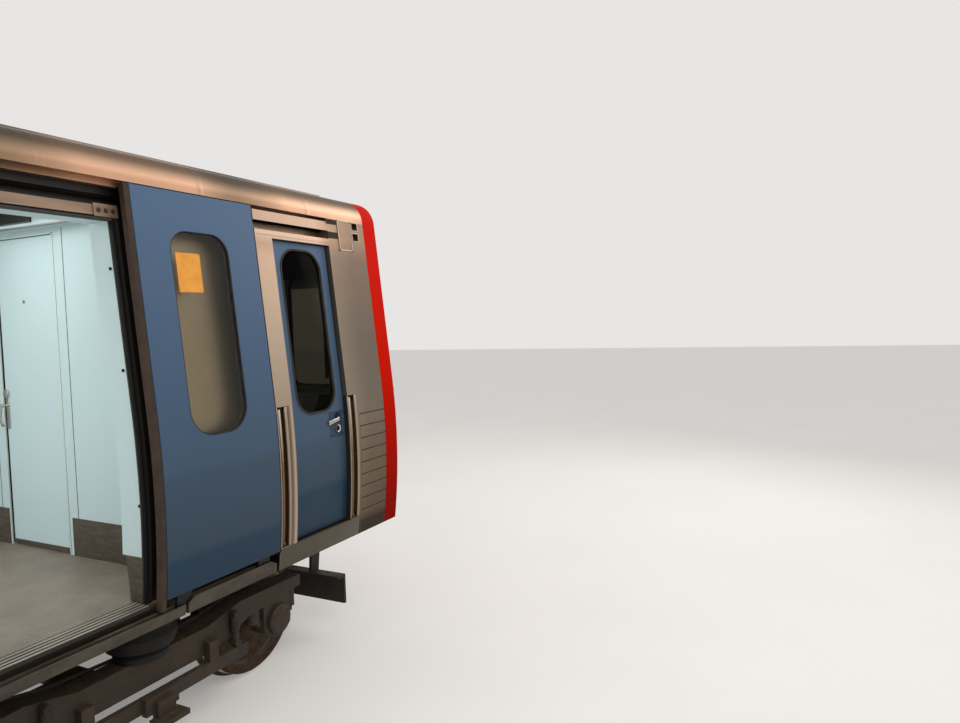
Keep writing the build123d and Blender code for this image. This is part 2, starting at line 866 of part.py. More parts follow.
def bench(x):
    wall_y = contour_y(saloon_inner, floor_top + seat_table[0][1]) - 22
    path = [(wall_y - d, floor_top + z) for d, z in seat_table]
    top = [(y, z) for y, z in path]
    under = [(y + shell_thick * 0.55, z - shell_thick) for y, z in reversed(path)]
    pieces = []
    for n in range(seats_per_bench):
        seat_low = x + (n - seats_per_bench / 2) * seat_pitch + seat_gap / 2
        outline = Polyline(*[(seat_low, y, z) for y, z in top + under], close=True)
        pieces.append(extrude(make_face(outline), seat_pitch - seat_gap, dir=(1, 0, 0)))
    half = seats_per_bench / 2 * seat_pitch - 60
    beam_y0 = wall_y - 330
    pieces.append(block((x - half, x + half), (beam_y0, beam_y0 + 70), (floor_top + 340, floor_top + 415)))
    for foot_x in (x - half + 200, x, x + half - 200):
        pieces.append(block((foot_x - 25, foot_x + 25), (beam_y0 + 10, beam_y0 + 60),
                            (floor_top, floor_top + 350)))
        pieces.append(block((foot_x - 60, foot_x + 60), (beam_y0 - 30, beam_y0 + 100),
                            (floor_top, floor_top + 10)))
    return fused(pieces)


# Grab poles and the ceiling rails that join them

pole_radius = 17
pole_y = 700
pole_past_doorway = 60
ceiling_rail_rise = 1880


def grab_poles():
    places = sorted(x + side * (doorway_half + pole_past_doorway) for x in doorways for side in (-1, 1))[:-1]
    poles, rails = [], []
    for x in places:
        pole = rod_z(pole_radius, floor_top, crown_z, x, pole_y)
        pole += rod_z(pole_radius + 14, floor_top, floor_top + 14, x, pole_y)
        poles.append(pole - ceiling(crown_z))
    for start, end in zip(places, places[1:]):
        rail = rod_x(pole_radius, start, end, pole_y, leaf_low + ceiling_rail_rise)
        for x in (start, end):
            rail -= rod_z(pole_radius, floor_top, crown_z, x, pole_y)
        rails.append(rail)
    return both_sides(poles + rails)


# Underframe: sole bars, cross members, bolsters with pivots, coupler brackets and jacking pads

member_depth = 80
frame_depth = 106
underframe_low = floor_under - frame_depth
sole_y = (1060, 1170)
cross_half = 1100
cross_pitch = 780
bolster_half = 300
jack_behind_bogie = 1500
jack_x = bogie_pitch_half - jack_behind_bogie
jack_y = 1085
jack_radius = 25
jack_pad_height = 55
jack_roof = 15
pivot_low = 560
coupler_z = flange_depth + coupler_rise
shank_radius = 55


def underframe():
    rear, front = body_rear + end_wall_thick, cab_front
    pieces = both_sides(block((rear, front), sole_y, (underframe_low, floor_under)))
    pieces += both_sides(block((rear, front), (120, 200), (floor_under - member_depth, floor_under)))
    pieces += [block((n * cross_pitch - 40, n * cross_pitch + 40), (-cross_half, cross_half),
                     (floor_under - member_depth, floor_under)) for n in range(-5, 6)]
    for end in (rear, front - 150):
        pieces.append(block((end, end + 150), (-cross_half, cross_half), (underframe_low, floor_under)))
    for sign in (-1, 1):
        x = sign * bogie_pitch_half
        pieces.append(block((x - bolster_half, x + bolster_half), (-cross_half, cross_half),
                            (underframe_low, floor_under)))
        pieces.append(rod_z(pivot_radius, pivot_low, underframe_low, x, 0))
        pieces.append(rod_z(2 * pivot_radius, underframe_low - 60, underframe_low, x, 0))
        x = sign * coupler_pivot
        pieces.append(block((x - 90, x + 90), (-210, 210), (coupler_z + shank_radius + 15, floor_under)))
        pieces.append(rod_z(coupler_pin, coupler_z - 90, coupler_z + 80, x, 0))
    return fused(pieces)


def jacking_pads():
    pads = []
    for x, y in [(x, y) for x in (-jack_x, jack_x) for y in (-jack_y, jack_y)]:
        pad = block((x - 90, x + 90), (y - 75, y + 75), (underframe_low - jack_pad_height, underframe_low))
        pad = chamfer(pad.edges().group_by(Axis.Z)[0], 12)
        socket = rod_z(jack_radius, underframe_low - jack_pad_height - 1, underframe_low - jack_roof, x, y)
        pads.append(pad - socket)
    return pads


# Bogie frame with axleboxes, brake units and the pivot's seat

beam_table = [
    # place along the bogie, height of the side beam's outline
    (-1290, 610),
    (-1290, 690),
    (-700, 700),
    (-430, beam_top),
    (430, beam_top),
    (700, 700),
    (1290, 690),
    (1290, 610),
    (780, 570),
    (480, 470),
    (-480, 470),
    (-780, 570),
]
transom_low = 500
transom_high = 620
box_half = 130
box_top = 610
cap_radius = 105
pivot_gap = 2


def bogie_frame():
    pieces = both_sides(side_profile(beam_table, beam_y - beam_width / 2, beam_y + beam_width / 2))
    for sign in (-1, 1):
        x = sign * wheelbase_half
        box = block((x - box_half, x + box_half), (beam_y - 62, beam_y + 62), (axle_z - 60, box_top + 10))
        box += rod_y(box_half, beam_y - 62, beam_y + 62, x, axle_z)
        box += rod_y(cap_radius, beam_y + 62, beam_y + 78, x, axle_z)
        box -= rod_y(journal_radius + journal_gap, beam_y - 100, beam_y + 63, x, axle_z)
        pieces += both_sides(box)
        for spring_x in (x - 175, x + 175):
            pieces += both_sides(rod_z(48, 470, 620, spring_x, beam_y))
            seat_x = x + (spring_x - x) * (box_half - 10) / abs(spring_x - x)
            pieces += both_sides(block((seat_x, spring_x), (beam_y - 40, beam_y + 40), (440, 475)))
        pieces.append(rod_y(70, -beam_y, beam_y, sign * transom_x, (transom_low + transom_high) / 2))
        brake_x = sign * (wheelbase_half - wheel_radius - 12)
        for side in (-1, 1):
            y0, y1 = sorted((side * 715, side * 805))
            shoe = block((brake_x - 45, brake_x + 45), (y0, y1), (axle_z - 70, axle_z + 90))
            shoe -= rod_y(wheel_radius + 8, y0, y1, x, axle_z)
            arm = block((sign * transom_x, brake_x), (y0 + 20, y1 - 20), (axle_z + 50, transom_high - 20))
            arm -= rod_y(wheel_radius + 8, y0, y1, x, axle_z)
            pieces += [shoe, arm]
    pieces.append(block((-transom_x, transom_x), (-170, 170), (transom_low, transom_high)))
    return fused(pieces) - rod_z(pivot_radius + pivot_gap, 400, 800, 0, 0)


spring_radius = 200


def air_spring():
    height = underframe_low - 0.3 - beam_top
    profile = Polyline((0, 0), (150, 0), (150, 30), (130, 50), (185, 70), (spring_radius, 105),
                       (spring_radius, 140), (180, 175), (170, height - 25), (190, height - 25),
                       (190, height), (0, height), close=True)
    return Pos(0, beam_y, beam_top) * revolve(Plane.XZ * make_face(profile), Axis.Z)


wheel_seat_radius = axle_radius + 20
seal_y = wheel_face_y + 40
wheel_table = [
    # distance from the car's middle, radius
    (wheel_back_y, wheel_seat_radius + 0.3),
    (wheel_back_y, 345),
    (wheel_back_y, wheel_radius + 18),
    (wheel_back_y + 8, wheel_radius + flange_depth),
    (wheel_back_y + 20, wheel_radius + flange_depth),
    (wheel_back_y + 32, wheel_radius + 4),
    (wheel_back_y + 80, wheel_radius + 1),
    (wheel_face_y, wheel_radius - 3),
    (wheel_face_y, 350),
    (wheel_face_y - 30, 335),
    (wheel_face_y - 75, 180),
    (wheel_face_y + 15, 150),
    (wheel_face_y + 15, wheel_seat_radius + 0.3),
]


def wheelset():
    wheel = revolve(make_face(Polyline(*wheel_table, close=True)), Axis.X)
    groove = revolve(make_face(Polyline((wheel_back_y, 180), (wheel_back_y, 330), (wheel_back_y + 40, 310),
                                        (wheel_back_y + 25, 190), close=True)), Axis.X)
    wheels = both_sides(Rot(0, 0, 90) * (wheel - groove))
    axle = rod_y(axle_radius, -seal_y, seal_y, 0, 0) + rod_y(journal_radius, -beam_y - 60, beam_y + 60, 0, 0)
    for y0, y1 in ((-wheel_face_y - 15, -wheel_back_y), (wheel_back_y, wheel_face_y + 15)):
        axle += rod_y(wheel_seat_radius, y0, y1, 0, 0)
    return [Pos(0, 0, axle_z) * piece for piece in wheels + [axle]]


# Traction motors with their gearcases, hung between the transoms and the axles

motor_radius = 165
motor_y = (-380, 200)
gearcase_y = (240, 390)
gearcase_radius = 205
motor_from_axle = 420
axle_gap = 6


def traction_motor(sign):
    axle_x = sign * wheelbase_half
    x = axle_x - sign * motor_from_axle
    motor = rod_y(motor_radius, *motor_y, x, axle_z)
    for n in range(5):
        y = motor_y[0] + 90 + n * 95
        motor += rod_y(motor_radius + 14, y, y + 22, x, axle_z)
    small, large = rod_y(120, *gearcase_y, x, axle_z), rod_y(gearcase_radius, *gearcase_y, axle_x, axle_z)
    web = block((x, axle_x - sign * 60), gearcase_y, (axle_z - 118, axle_z + 118))
    neck = rod_y(90, motor_y[1] - 10, gearcase_y[0] + 10, x, axle_z)
    nose = block((sign * (transom_x + 50), x - sign * 40), (-250, 50), (transom_low + 20, transom_high - 20))
    nose -= rod_y(70, -300, 100, sign * transom_x, (transom_low + transom_high) / 2)
    box = block((x - 110, x + 110), (-250, -50), (axle_z + motor_radius - 30, axle_z + motor_radius + 45))
    shell = fused([motor, small, large, web, neck, nose, box])
    return shell - rod_y(axle_radius + axle_gap, -500, 500, axle_x, axle_z)


# Collector shoes on beams between the axleboxes

shoe_beam_y = (1085, 1125)
shoe_beam_z = (360, 440)


def collector_shoes():
    pieces = []
    for side in (-1, 1):
        ys = sorted(side * y for y in shoe_beam_y)
        beam = block((-700, 700), ys, shoe_beam_z)
        hangers = [block((x - 35, x + 35), sorted((side * (beam_y + beam_width / 2), side * shoe_beam_y[1])),
                         (shoe_beam_z[0] + 10, 560)) for x in (-420, 420)]
        mount = block((-110, 110), sorted((side * shoe_beam_y[1], side * 1165)), (350, 450))
        paddle = block((-95, 95), sorted((side * 1165, side * 1270)), (300, 330))
        tie = block((-60, 60), sorted((side * 1150, side * 1200)), (300, 420))
        pieces.append(fused([beam, mount, paddle, tie] + hangers))
    return pieces


# Equipment cases and air tanks between the bogies

bay_margin = 150
case_top = underframe_low
case_table = [
    # start and end as shares of the bay, side, depth below the underframe
    (0.02, 0.17, 1, 440),
    (0.20, 0.38, 1, 480),
    (0.42, 0.60, 1, 440),
    (0.64, 0.79, 1, 500),
    (0.82, 0.98, 1, 420),
    (0.02, 0.25, -1, 480),
    (0.29, 0.55, -1, 430),
    (0.59, 0.72, -1, 480),
]
case_y = (250, 1120)
bay_half = bogie_pitch_half - wheelbase_half - wheel_radius - flange_depth - bay_margin


def equipment_cases():
    cases = []
    for start, end, side, depth in case_table:
        x0, x1 = (2 * start - 1) * bay_half, (2 * end - 1) * bay_half
        low = case_top - depth
        y0, y1 = sorted((side * case_y[0], side * case_y[1]))
        case = block((x0, x1), (y0, y1), (low, case_top))
        case = chamfer(case.edges().filter_by(Axis.X).group_by(Axis.Z)[0], 45)
        doors = max(2, round((x1 - x0) / 600))
        width = (x1 - x0 - 60) / doors
        face_y = side * case_y[1]
        for n in range(doors):
            door_x = x0 + 30 + n * width
            door = block((door_x + 15, door_x + width - 15), sorted((face_y, face_y + side * 10)),
                         (low + 70, case_top - 40))
            door += block((door_x + width / 2 - 25, door_x + width / 2 + 25),
                          sorted((face_y, face_y + side * 22)), (case_top - 110, case_top - 85))
            case += door
        cases.append(case)
    return cases


tank_radius = 150
tank_z = 600
tank_past_strap = 150
tank_table = [
    # distance from the middle of the car, number of the first of the two cross members it hangs from
    (-480, 3),
    (-880, 3),
]


def air_tanks():
    tanks = []
    for y, member in tank_table:
        straps = (member * cross_pitch, (member + 1) * cross_pitch)
        tank = rod_x(tank_radius, straps[0] - tank_past_strap, straps[1] + tank_past_strap, y, tank_z)
        tank = chamfer(tank.edges().filter_by(GeomType.CIRCLE), 45)
        for x in straps:
            tank += rod_x(tank_radius + 6, x - 20, x + 20, y, tank_z)
            tank += block((x - 20, x + 20), (y - 45, y + 45), (tank_z + 100, floor_under - member_depth))
        tanks.append(tank)
    return tanks


# Deflector under the front

deflector_ahead_of_axle = 840
deflector_half = 1000
deflector_x = bogie_pitch_half + wheelbase_half + deflector_ahead_of_axle
deflector_z = (230, 470)


def front_deflector():
    blade = block((deflector_x, deflector_x + 24), (-deflector_half, deflector_half), deflector_z)
    blade += block((deflector_x - 70, deflector_x + 24), (-deflector_half, deflector_half),
                   (deflector_z[1] - 24, deflector_z[1]))
    arm = [(deflector_x - 70, deflector_z[1] - 10), (deflector_x + 24, deflector_z[1] - 10),
           (cab_front - 20, underframe_low), (cab_front - 140, underframe_low)]
    arms = both_sides(side_profile(arm, 700, 724))
    return fused([blade] + arms)


# Couplers, turning on the underframe's pins

head_length = 250


def front_coupler():
    back_x = coupler_face - head_length
    head = block((coupler_face - 40, coupler_face), (-190, 190), (coupler_z - 150, coupler_z + 150))
    body = block((back_x, coupler_face - 30), (-140, 140), (coupler_z - 120, coupler_z + 120))
    body = chamfer(body.edges().filter_by(Axis.X), 40)
    cone = rod_x(60, coupler_face - 5, coupler_face + 20, -95, coupler_z)
    cone += rod_x(38, coupler_face - 5, coupler_face + cone_length, -95, coupler_z)
    contacts = block((coupler_face - 180, coupler_face), (-150, 150), (coupler_z - 240, coupler_z - 165))
    contact_tie = block((coupler_face - 140, coupler_face - 60), (-60, 60),
                        (coupler_z - 180, coupler_z - 100))
    shank = rod_x(shank_radius, coupler_pivot + 40, back_x + 10, 0, coupler_z)
    collar = rod_x(shank_radius + 25, back_x - 120, back_x - 60, 0, coupler_z)
    eye = rod_z(75, coupler_z - shank_radius, coupler_z + shank_radius, coupler_pivot, 0)
    solid = fused([head, body, cone, contacts, contact_tie, shank, collar, eye])
    solid -= rod_x(66, coupler_face - 80, coupler_face + 1, 95, coupler_z)
    return solid - rod_z(coupler_pin + 0.4, coupler_z - 90, coupler_z + 90, coupler_pivot, 0)


# Outside leaves. On the right side they stand open, on the left side closed.

arm_length = 500
arm_over_doorway = (120, 152)
arm_thick = 13
hanger_reach = 96
hanger_over_doorway = (143, 155)
hanger_width = 60
hanger_edge = 90
roller_radius = 12
roller_gap = 0.4
shoe_length = 100
shoe_edge = 80
shoe_gap = 8


def hanger(x):
    """Hanger plate with its roller over the rail."""
    plate = side_band(leaf_thick, hanger_reach, doorway_top + hanger_over_doorway[0],
                      doorway_top + hanger_over_doorway[1], x - hanger_width / 2, x + hanger_width / 2)
    z = doorway_top + rail_over_doorway + rail_height + roller_radius + roller_gap
    y = contour_y(hanger_reach, z)
    roller = rod_y(roller_radius, y + 4, y + 20, x, z)
    cheek = block((x - 7, x + 7), (y, y + 4), (z - 7, doorway_top + hanger_over_doorway[1] - 2))
    return [plate, roller, cheek]


def leaf_body():
    """Left side leaf with its nose at x = 0 and its panel towards +X."""
    near, far = nose_width, nose_width + leaf_width
    window_x = near + leaf_window_edge + leaf_window_width / 2
    panel = side_band(0, leaf_thick, leaf_low, leaf_high, near, far)
    panel -= side_cutter(leaf_window_width, window_x, leaf_window_low, leaf_window_high,
                         leaf_window_top_radius, leaf_window_low_radius)
    nose = side_band(nose_inset, leaf_thick - nose_inset, leaf_low - nose_drop, leaf_high, 0, near + 1)
    arm = side_band(leaf_thick, leaf_thick + arm_thick, doorway_top + arm_over_doorway[0],
                    doorway_top + arm_over_doorway[1], near, far + arm_length)
    pieces = [panel, nose, arm] + hanger(near + hanger_edge) + hanger(far - hanger_edge)
    for x in (near + shoe_edge, far - shoe_edge - shoe_length):
        pieces.append(rise_band(groove_outer + shoe_gap, groove_inner - shoe_gap,
                                shoe_gap - groove_floor_drop, 1,
                                x, x + shoe_length))
    return fused(pieces)


# Cab side doors: set back in the side, with a window and a recessed handle plate

handle_plate = (178, 4)
handle_rises = (652, 838)
handle_depth = 9


def cab_door():
    x_low = body_front - cab_door_rear + cab_door_gap
    x_high = body_front - cab_door_front - cab_door_gap
    low, high = cab_door_low + cab_door_gap, cab_door_high - cab_door_gap
    door = rise_band(cab_door_inset, cab_door_inset + cab_door_thick, low, high, x_low, x_high)
    door -= side_cutter(cab_window_width, (x_low + x_high) / 2, cab_window_low, cab_window_high,
                        cab_window_radius, cab_window_radius)
    door -= rise_band(cab_door_inset - 5, cab_door_inset + handle_depth, *handle_rises,
                      x_high - handle_plate[0], x_high - handle_plate[1])
    return fused([door] + cab_hinges()[1])


def save_sides(node, left_piece):
    save(f"{node}_left", left_piece)
    save(f"{node}_right", mirror(left_piece, Plane.XZ))


save_sides("side_wall", saloon_wall())
save_sides("cab_side", cab_side())
save_sides("cab_door", cab_door())
save("side_glass", *both_sides([side_pane(x) for x in window_places]), *end_panes())
save("doorway_linings", *both_sides([doorway_lining(x) for x in doorways]))
save("door_sills", *both_sides([threshold(x) for x in doorways] + guide_beams()))
save("door_gear", *both_sides(door_gear()))
save("cab_handrails", *both_sides(side_grab_rails()))
save("floor", floor())
save("roof", roof())
save("roof_vents", *roof_vents())
save("ceiling", *ceiling_panels())
save("ceiling_lamps", *ceiling_lamps())
save("rear_end", rear_end())
save("rear_door", rear_door())
save("front_surround", front_surround())
save("front_panel", front_panel())
screen_sheet = bowed_band(screen_inset, screen_inset + screen_thick)
save("windscreen", *[screen_sheet & opening for opening in screen_openings()])
save("front_lamps", *front_lamps())
save("cab_bulkhead", fused([bulkhead(), header_box()] + bulkhead_fixed))
save("bulkhead_door", bulkhead_door())
save("cab_desk", cab_desk())
save("driver_seat", driver_seat())
save("saloon_seats", *both_sides([bench(x) for x in window_places]))
save("grab_poles", *grab_poles())
save("underframe", underframe())
save("jacking_pads", *jacking_pads())
save("equipment_cases", *equipment_cases())
save("air_tanks", *air_tanks())
save("front_deflector", front_deflector())
save("front_coupler", front_coupler())
save("rear_coupler", Rot(0, 0, 180) * front_coupler())

frame_piece, wheels, shoes = bogie_frame(), wheelset(), collector_shoes()
springs, motors = both_sides(air_spring()), [traction_motor(-1), traction_motor(1)]
for name, x in (("front", bogie_pitch_half), ("rear", -bogie_pitch_half)):
    place = Pos(x, 0, 0)
    save(f"bogie_frame_{name}", place * frame_piece)
    save(f"air_springs_{name}", *[place * piece for piece in springs])
    save(f"traction_motors_{name}", *[place * piece for piece in motors])
    save(f"collector_shoes_{name}", *[place * piece for piece in shoes])
axle_places = [end * bogie_pitch_half + axle * wheelbase_half for end in (1, -1) for axle in (1, -1)]
for n, x in enumerate(axle_places, 1):
    save(f"wheelset_{n}", *[Pos(x, 0, 0) * piece for piece in wheels])

forward_leaf = leaf_body()
rearward_leaf = mirror(forward_leaf, Plane.YZ)
for n, x in enumerate(doorways, 1):
    for end, leaf, way in (("front", forward_leaf, 1), ("rear", rearward_leaf, -1)):
        save(f"leaf_left_{n}_{end}", Pos(x + way * closed_gap, 0, 0) * leaf)
        opened = Pos(x + way * (closed_gap + leaf_travel), 0, 0) * leaf
        save(f"leaf_right_{n}_{end}", mirror(opened, Plane.XZ))
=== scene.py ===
# Looks of the metro car: trim, glass, lining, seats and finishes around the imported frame. Metres.
# Side details are modelled flat, with y as the depth in from the car's widest line, and then laid
# on the curved side.

import bpy
from math import cos, exp, pi, radians, sin, sqrt, tan
from mathutils import Matrix, Vector


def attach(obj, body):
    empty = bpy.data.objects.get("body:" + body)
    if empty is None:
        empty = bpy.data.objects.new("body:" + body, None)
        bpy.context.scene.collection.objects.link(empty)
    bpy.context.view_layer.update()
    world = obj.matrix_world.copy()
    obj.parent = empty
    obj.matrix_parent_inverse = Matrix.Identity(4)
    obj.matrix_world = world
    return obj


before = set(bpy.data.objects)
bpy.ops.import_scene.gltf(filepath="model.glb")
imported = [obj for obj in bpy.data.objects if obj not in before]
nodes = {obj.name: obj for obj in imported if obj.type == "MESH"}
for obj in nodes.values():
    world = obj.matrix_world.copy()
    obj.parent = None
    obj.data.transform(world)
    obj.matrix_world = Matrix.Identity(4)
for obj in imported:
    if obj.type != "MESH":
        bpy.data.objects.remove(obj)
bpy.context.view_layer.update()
print("frame loaded:", len(nodes), "nodes")

# sizes of the body that the trim follows
carBody = {
    "leafLow": 1.048,
    "floorTop": 1.036,
    "leafHigh": 3.295,
    "halfWidth": 1.395,
    "sideRadius": 5.0,
    "widestRise": 0.53,
    "lean": radians(5.8),
    "doorways": (4.515, -0.235, -4.985),
    "doorwayHalf": 0.875,
    "doorwayTop": 3.108,
    "windows": (2.140, -2.610),
    "bulkhead": 5.786,
    "railLow": 3.190,
    "axleHigh": 0.448,
}
leafLow, floorTop = carBody["leafLow"], carBody["floorTop"]


# the side's distance from the car's middle at the height z: an arc, then a line that leans inwards
def sideY(inset, z):
    radius = carBody["sideRadius"] - inset
    centreY = carBody["halfWidth"] - carBody["sideRadius"]
    centreZ = leafLow + carBody["widestRise"]
    lean = carBody["lean"]
    startZ = centreZ + radius * sin(lean)
    if z <= startZ:
        return centreY + sqrt(radius ** 2 - (z - centreZ) ** 2)
    return centreY + radius * cos(lean) - (z - startZ) * tan(lean)


# Camera at the photograph's view

view = {
    "place": (2.865, -4.594, 2.508),
    "right": (0.4454593, -0.8948367, -0.0288668),
    "down": (-0.0634081, 0.0006292, -0.9979875),
    "ahead": (0.8930540, 0.4463932, -0.0564596),
    "lens": 26.5577,
    "sensor": 36,
    "reach": 200,
}


def addCamera():
    bpy.ops.object.camera_add(location=view["place"])
    camera = bpy.context.object
    right, down, ahead = (Vector(view[k]) for k in ("right", "down", "ahead"))
    turn = Matrix((right, -down, -ahead)).transposed().to_4x4()
    camera.matrix_world = Matrix.Translation(view["place"]) @ turn
    camera.data.lens = view["lens"]
    camera.data.sensor_width = view["sensor"]
    camera.data.clip_end = view["reach"]
    bpy.context.scene.camera = camera


addCamera()
print("camera placed")

# Studio: pale floor, pale sky that lights evenly, and soft lamps

studio = {
    "floorSize": 120,
    "skyColour": (0.80, 0.79, 0.775, 1),
    "skyStrength": 0.62,
    # place, size, power, colour, point that it faces
    "lamps": (
        ((3.0, -8.5, 7.5), 6.0, 330, (1.0, 0.95, 0.88), (5.5, -1.0, 2.2)),
        ((14.0, -4.0, 6.0), 5.0, 170, (1.0, 0.96, 0.92), (7.0, 0.0, 2.0)),
        ((-10.0, 9.0, 7.0), 8.0, 420, (0.97, 0.98, 1.0), (-2.0, 0.0, 1.5)),
    ),
    # fill from the aisle towards the cab, given in the same order
    "aisleLamp": ((2.9, -0.1, 1.7), 1.6, 42, (1.0, 1.0, 1.0), (6.0, 0.2, 1.25)),
    # soft lamps under the ceiling
    "cabinLamps": ((4.3, 0.0, 3.25), (-0.2, 0.0, 3.25), (-4.9, 0.0, 3.25)),
    "cabinSize": (2.6, 1.0),
    "cabinPower": 23,
    "cabinColour": (0.97, 0.99, 1.0),
    # place, size and power of the lamp over the driver's seat
    "cabLamp": ((6.75, 0.0, 2.95), 0.7, 20),
}


def deselectAll():
    if bpy.context.object and bpy.context.object.mode != "OBJECT":
        bpy.ops.object.mode_set(mode="OBJECT")
    bpy.ops.object.select_all(action="DESELECT")


# soft square lamp, straight down unless it faces a point; a hidden one lights, but no pane shows it
def addLamp(place, size, power, colour=(1.0, 1.0, 1.0), target=None, hidden=False):
    bpy.ops.object.light_add(type="AREA", location=place)
    lamp = bpy.context.object
    lamp.data.size = size
    lamp.data.energy = power
    lamp.data.color = colour
    if target:
        lamp.rotation_euler = (Vector(target) - Vector(place)).to_track_quat("-Z", "Y").to_euler()
    if hidden:
        lamp.visible_camera = lamp.visible_transmission = lamp.visible_glossy = False
    return lamp


def addStudio():
    bpy.context.scene.view_settings.view_transform = "Standard"
    bpy.ops.mesh.primitive_plane_add(size=studio["floorSize"], location=(0, 0, 0))
    floor = bpy.context.object
    floor.name = "studioFloor"
    floor.data.materials.append(studioFloorFinish())
    for lamp in studio["lamps"]:
        addLamp(*lamp)
    addLamp(*studio["aisleLamp"], hidden=True)
    length, width = studio["cabinSize"]
    for place in studio["cabinLamps"]:
        lamp = addLamp(place, length, studio["cabinPower"], studio["cabinColour"])
        lamp.data.shape = "RECTANGLE"
        lamp.data.size_y = width
    addLamp(*studio["cabLamp"], hidden=True)
    addSky()


# pale sky, at full strength to the eye and softer as a light
def addSky():
    world = bpy.data.worlds.new("studioSky")
    bpy.context.scene.world = world
    world.use_nodes = True
    tree = world.node_tree
    soft = tree.nodes["Background"]
    shown = tree.nodes.new("ShaderNodeBackground")
    for background, strength in ((soft, studio["skyStrength"]), (shown, 1.0)):
        background.inputs["Color"].default_value = studio["skyColour"]
        background.inputs["Strength"].default_value = strength
    swap = tree.nodes.new("ShaderNodeMixShader")
    tree.links.new(seenRays(tree), swap.inputs["Fac"])
    tree.links.new(soft.outputs[0], swap.inputs[1])
    tree.links.new(shown.outputs[0], swap.inputs[2])
    tree.links.new(swap.outputs[0], tree.nodes["World Output"].inputs["Surface"])


# 1 for rays that the eye follows: straight, mirrored or through glass
def seenRays(tree):
    path = tree.nodes.new("ShaderNodeLightPath")
    total = path.outputs["Is Camera Ray"]
    for name in ("Is Glossy Ray", "Is Transmission Ray"):
        node = tree.nodes.new("ShaderNodeMath")
        node.operation = "ADD"
        node.use_clamp = True
        tree.links.new(total, node.inputs[0])
        tree.links.new(path.outputs[name], node.inputs[1])
        total = node.outputs[0]
    return total


# Finishes. Every pattern reads Object coordinates.


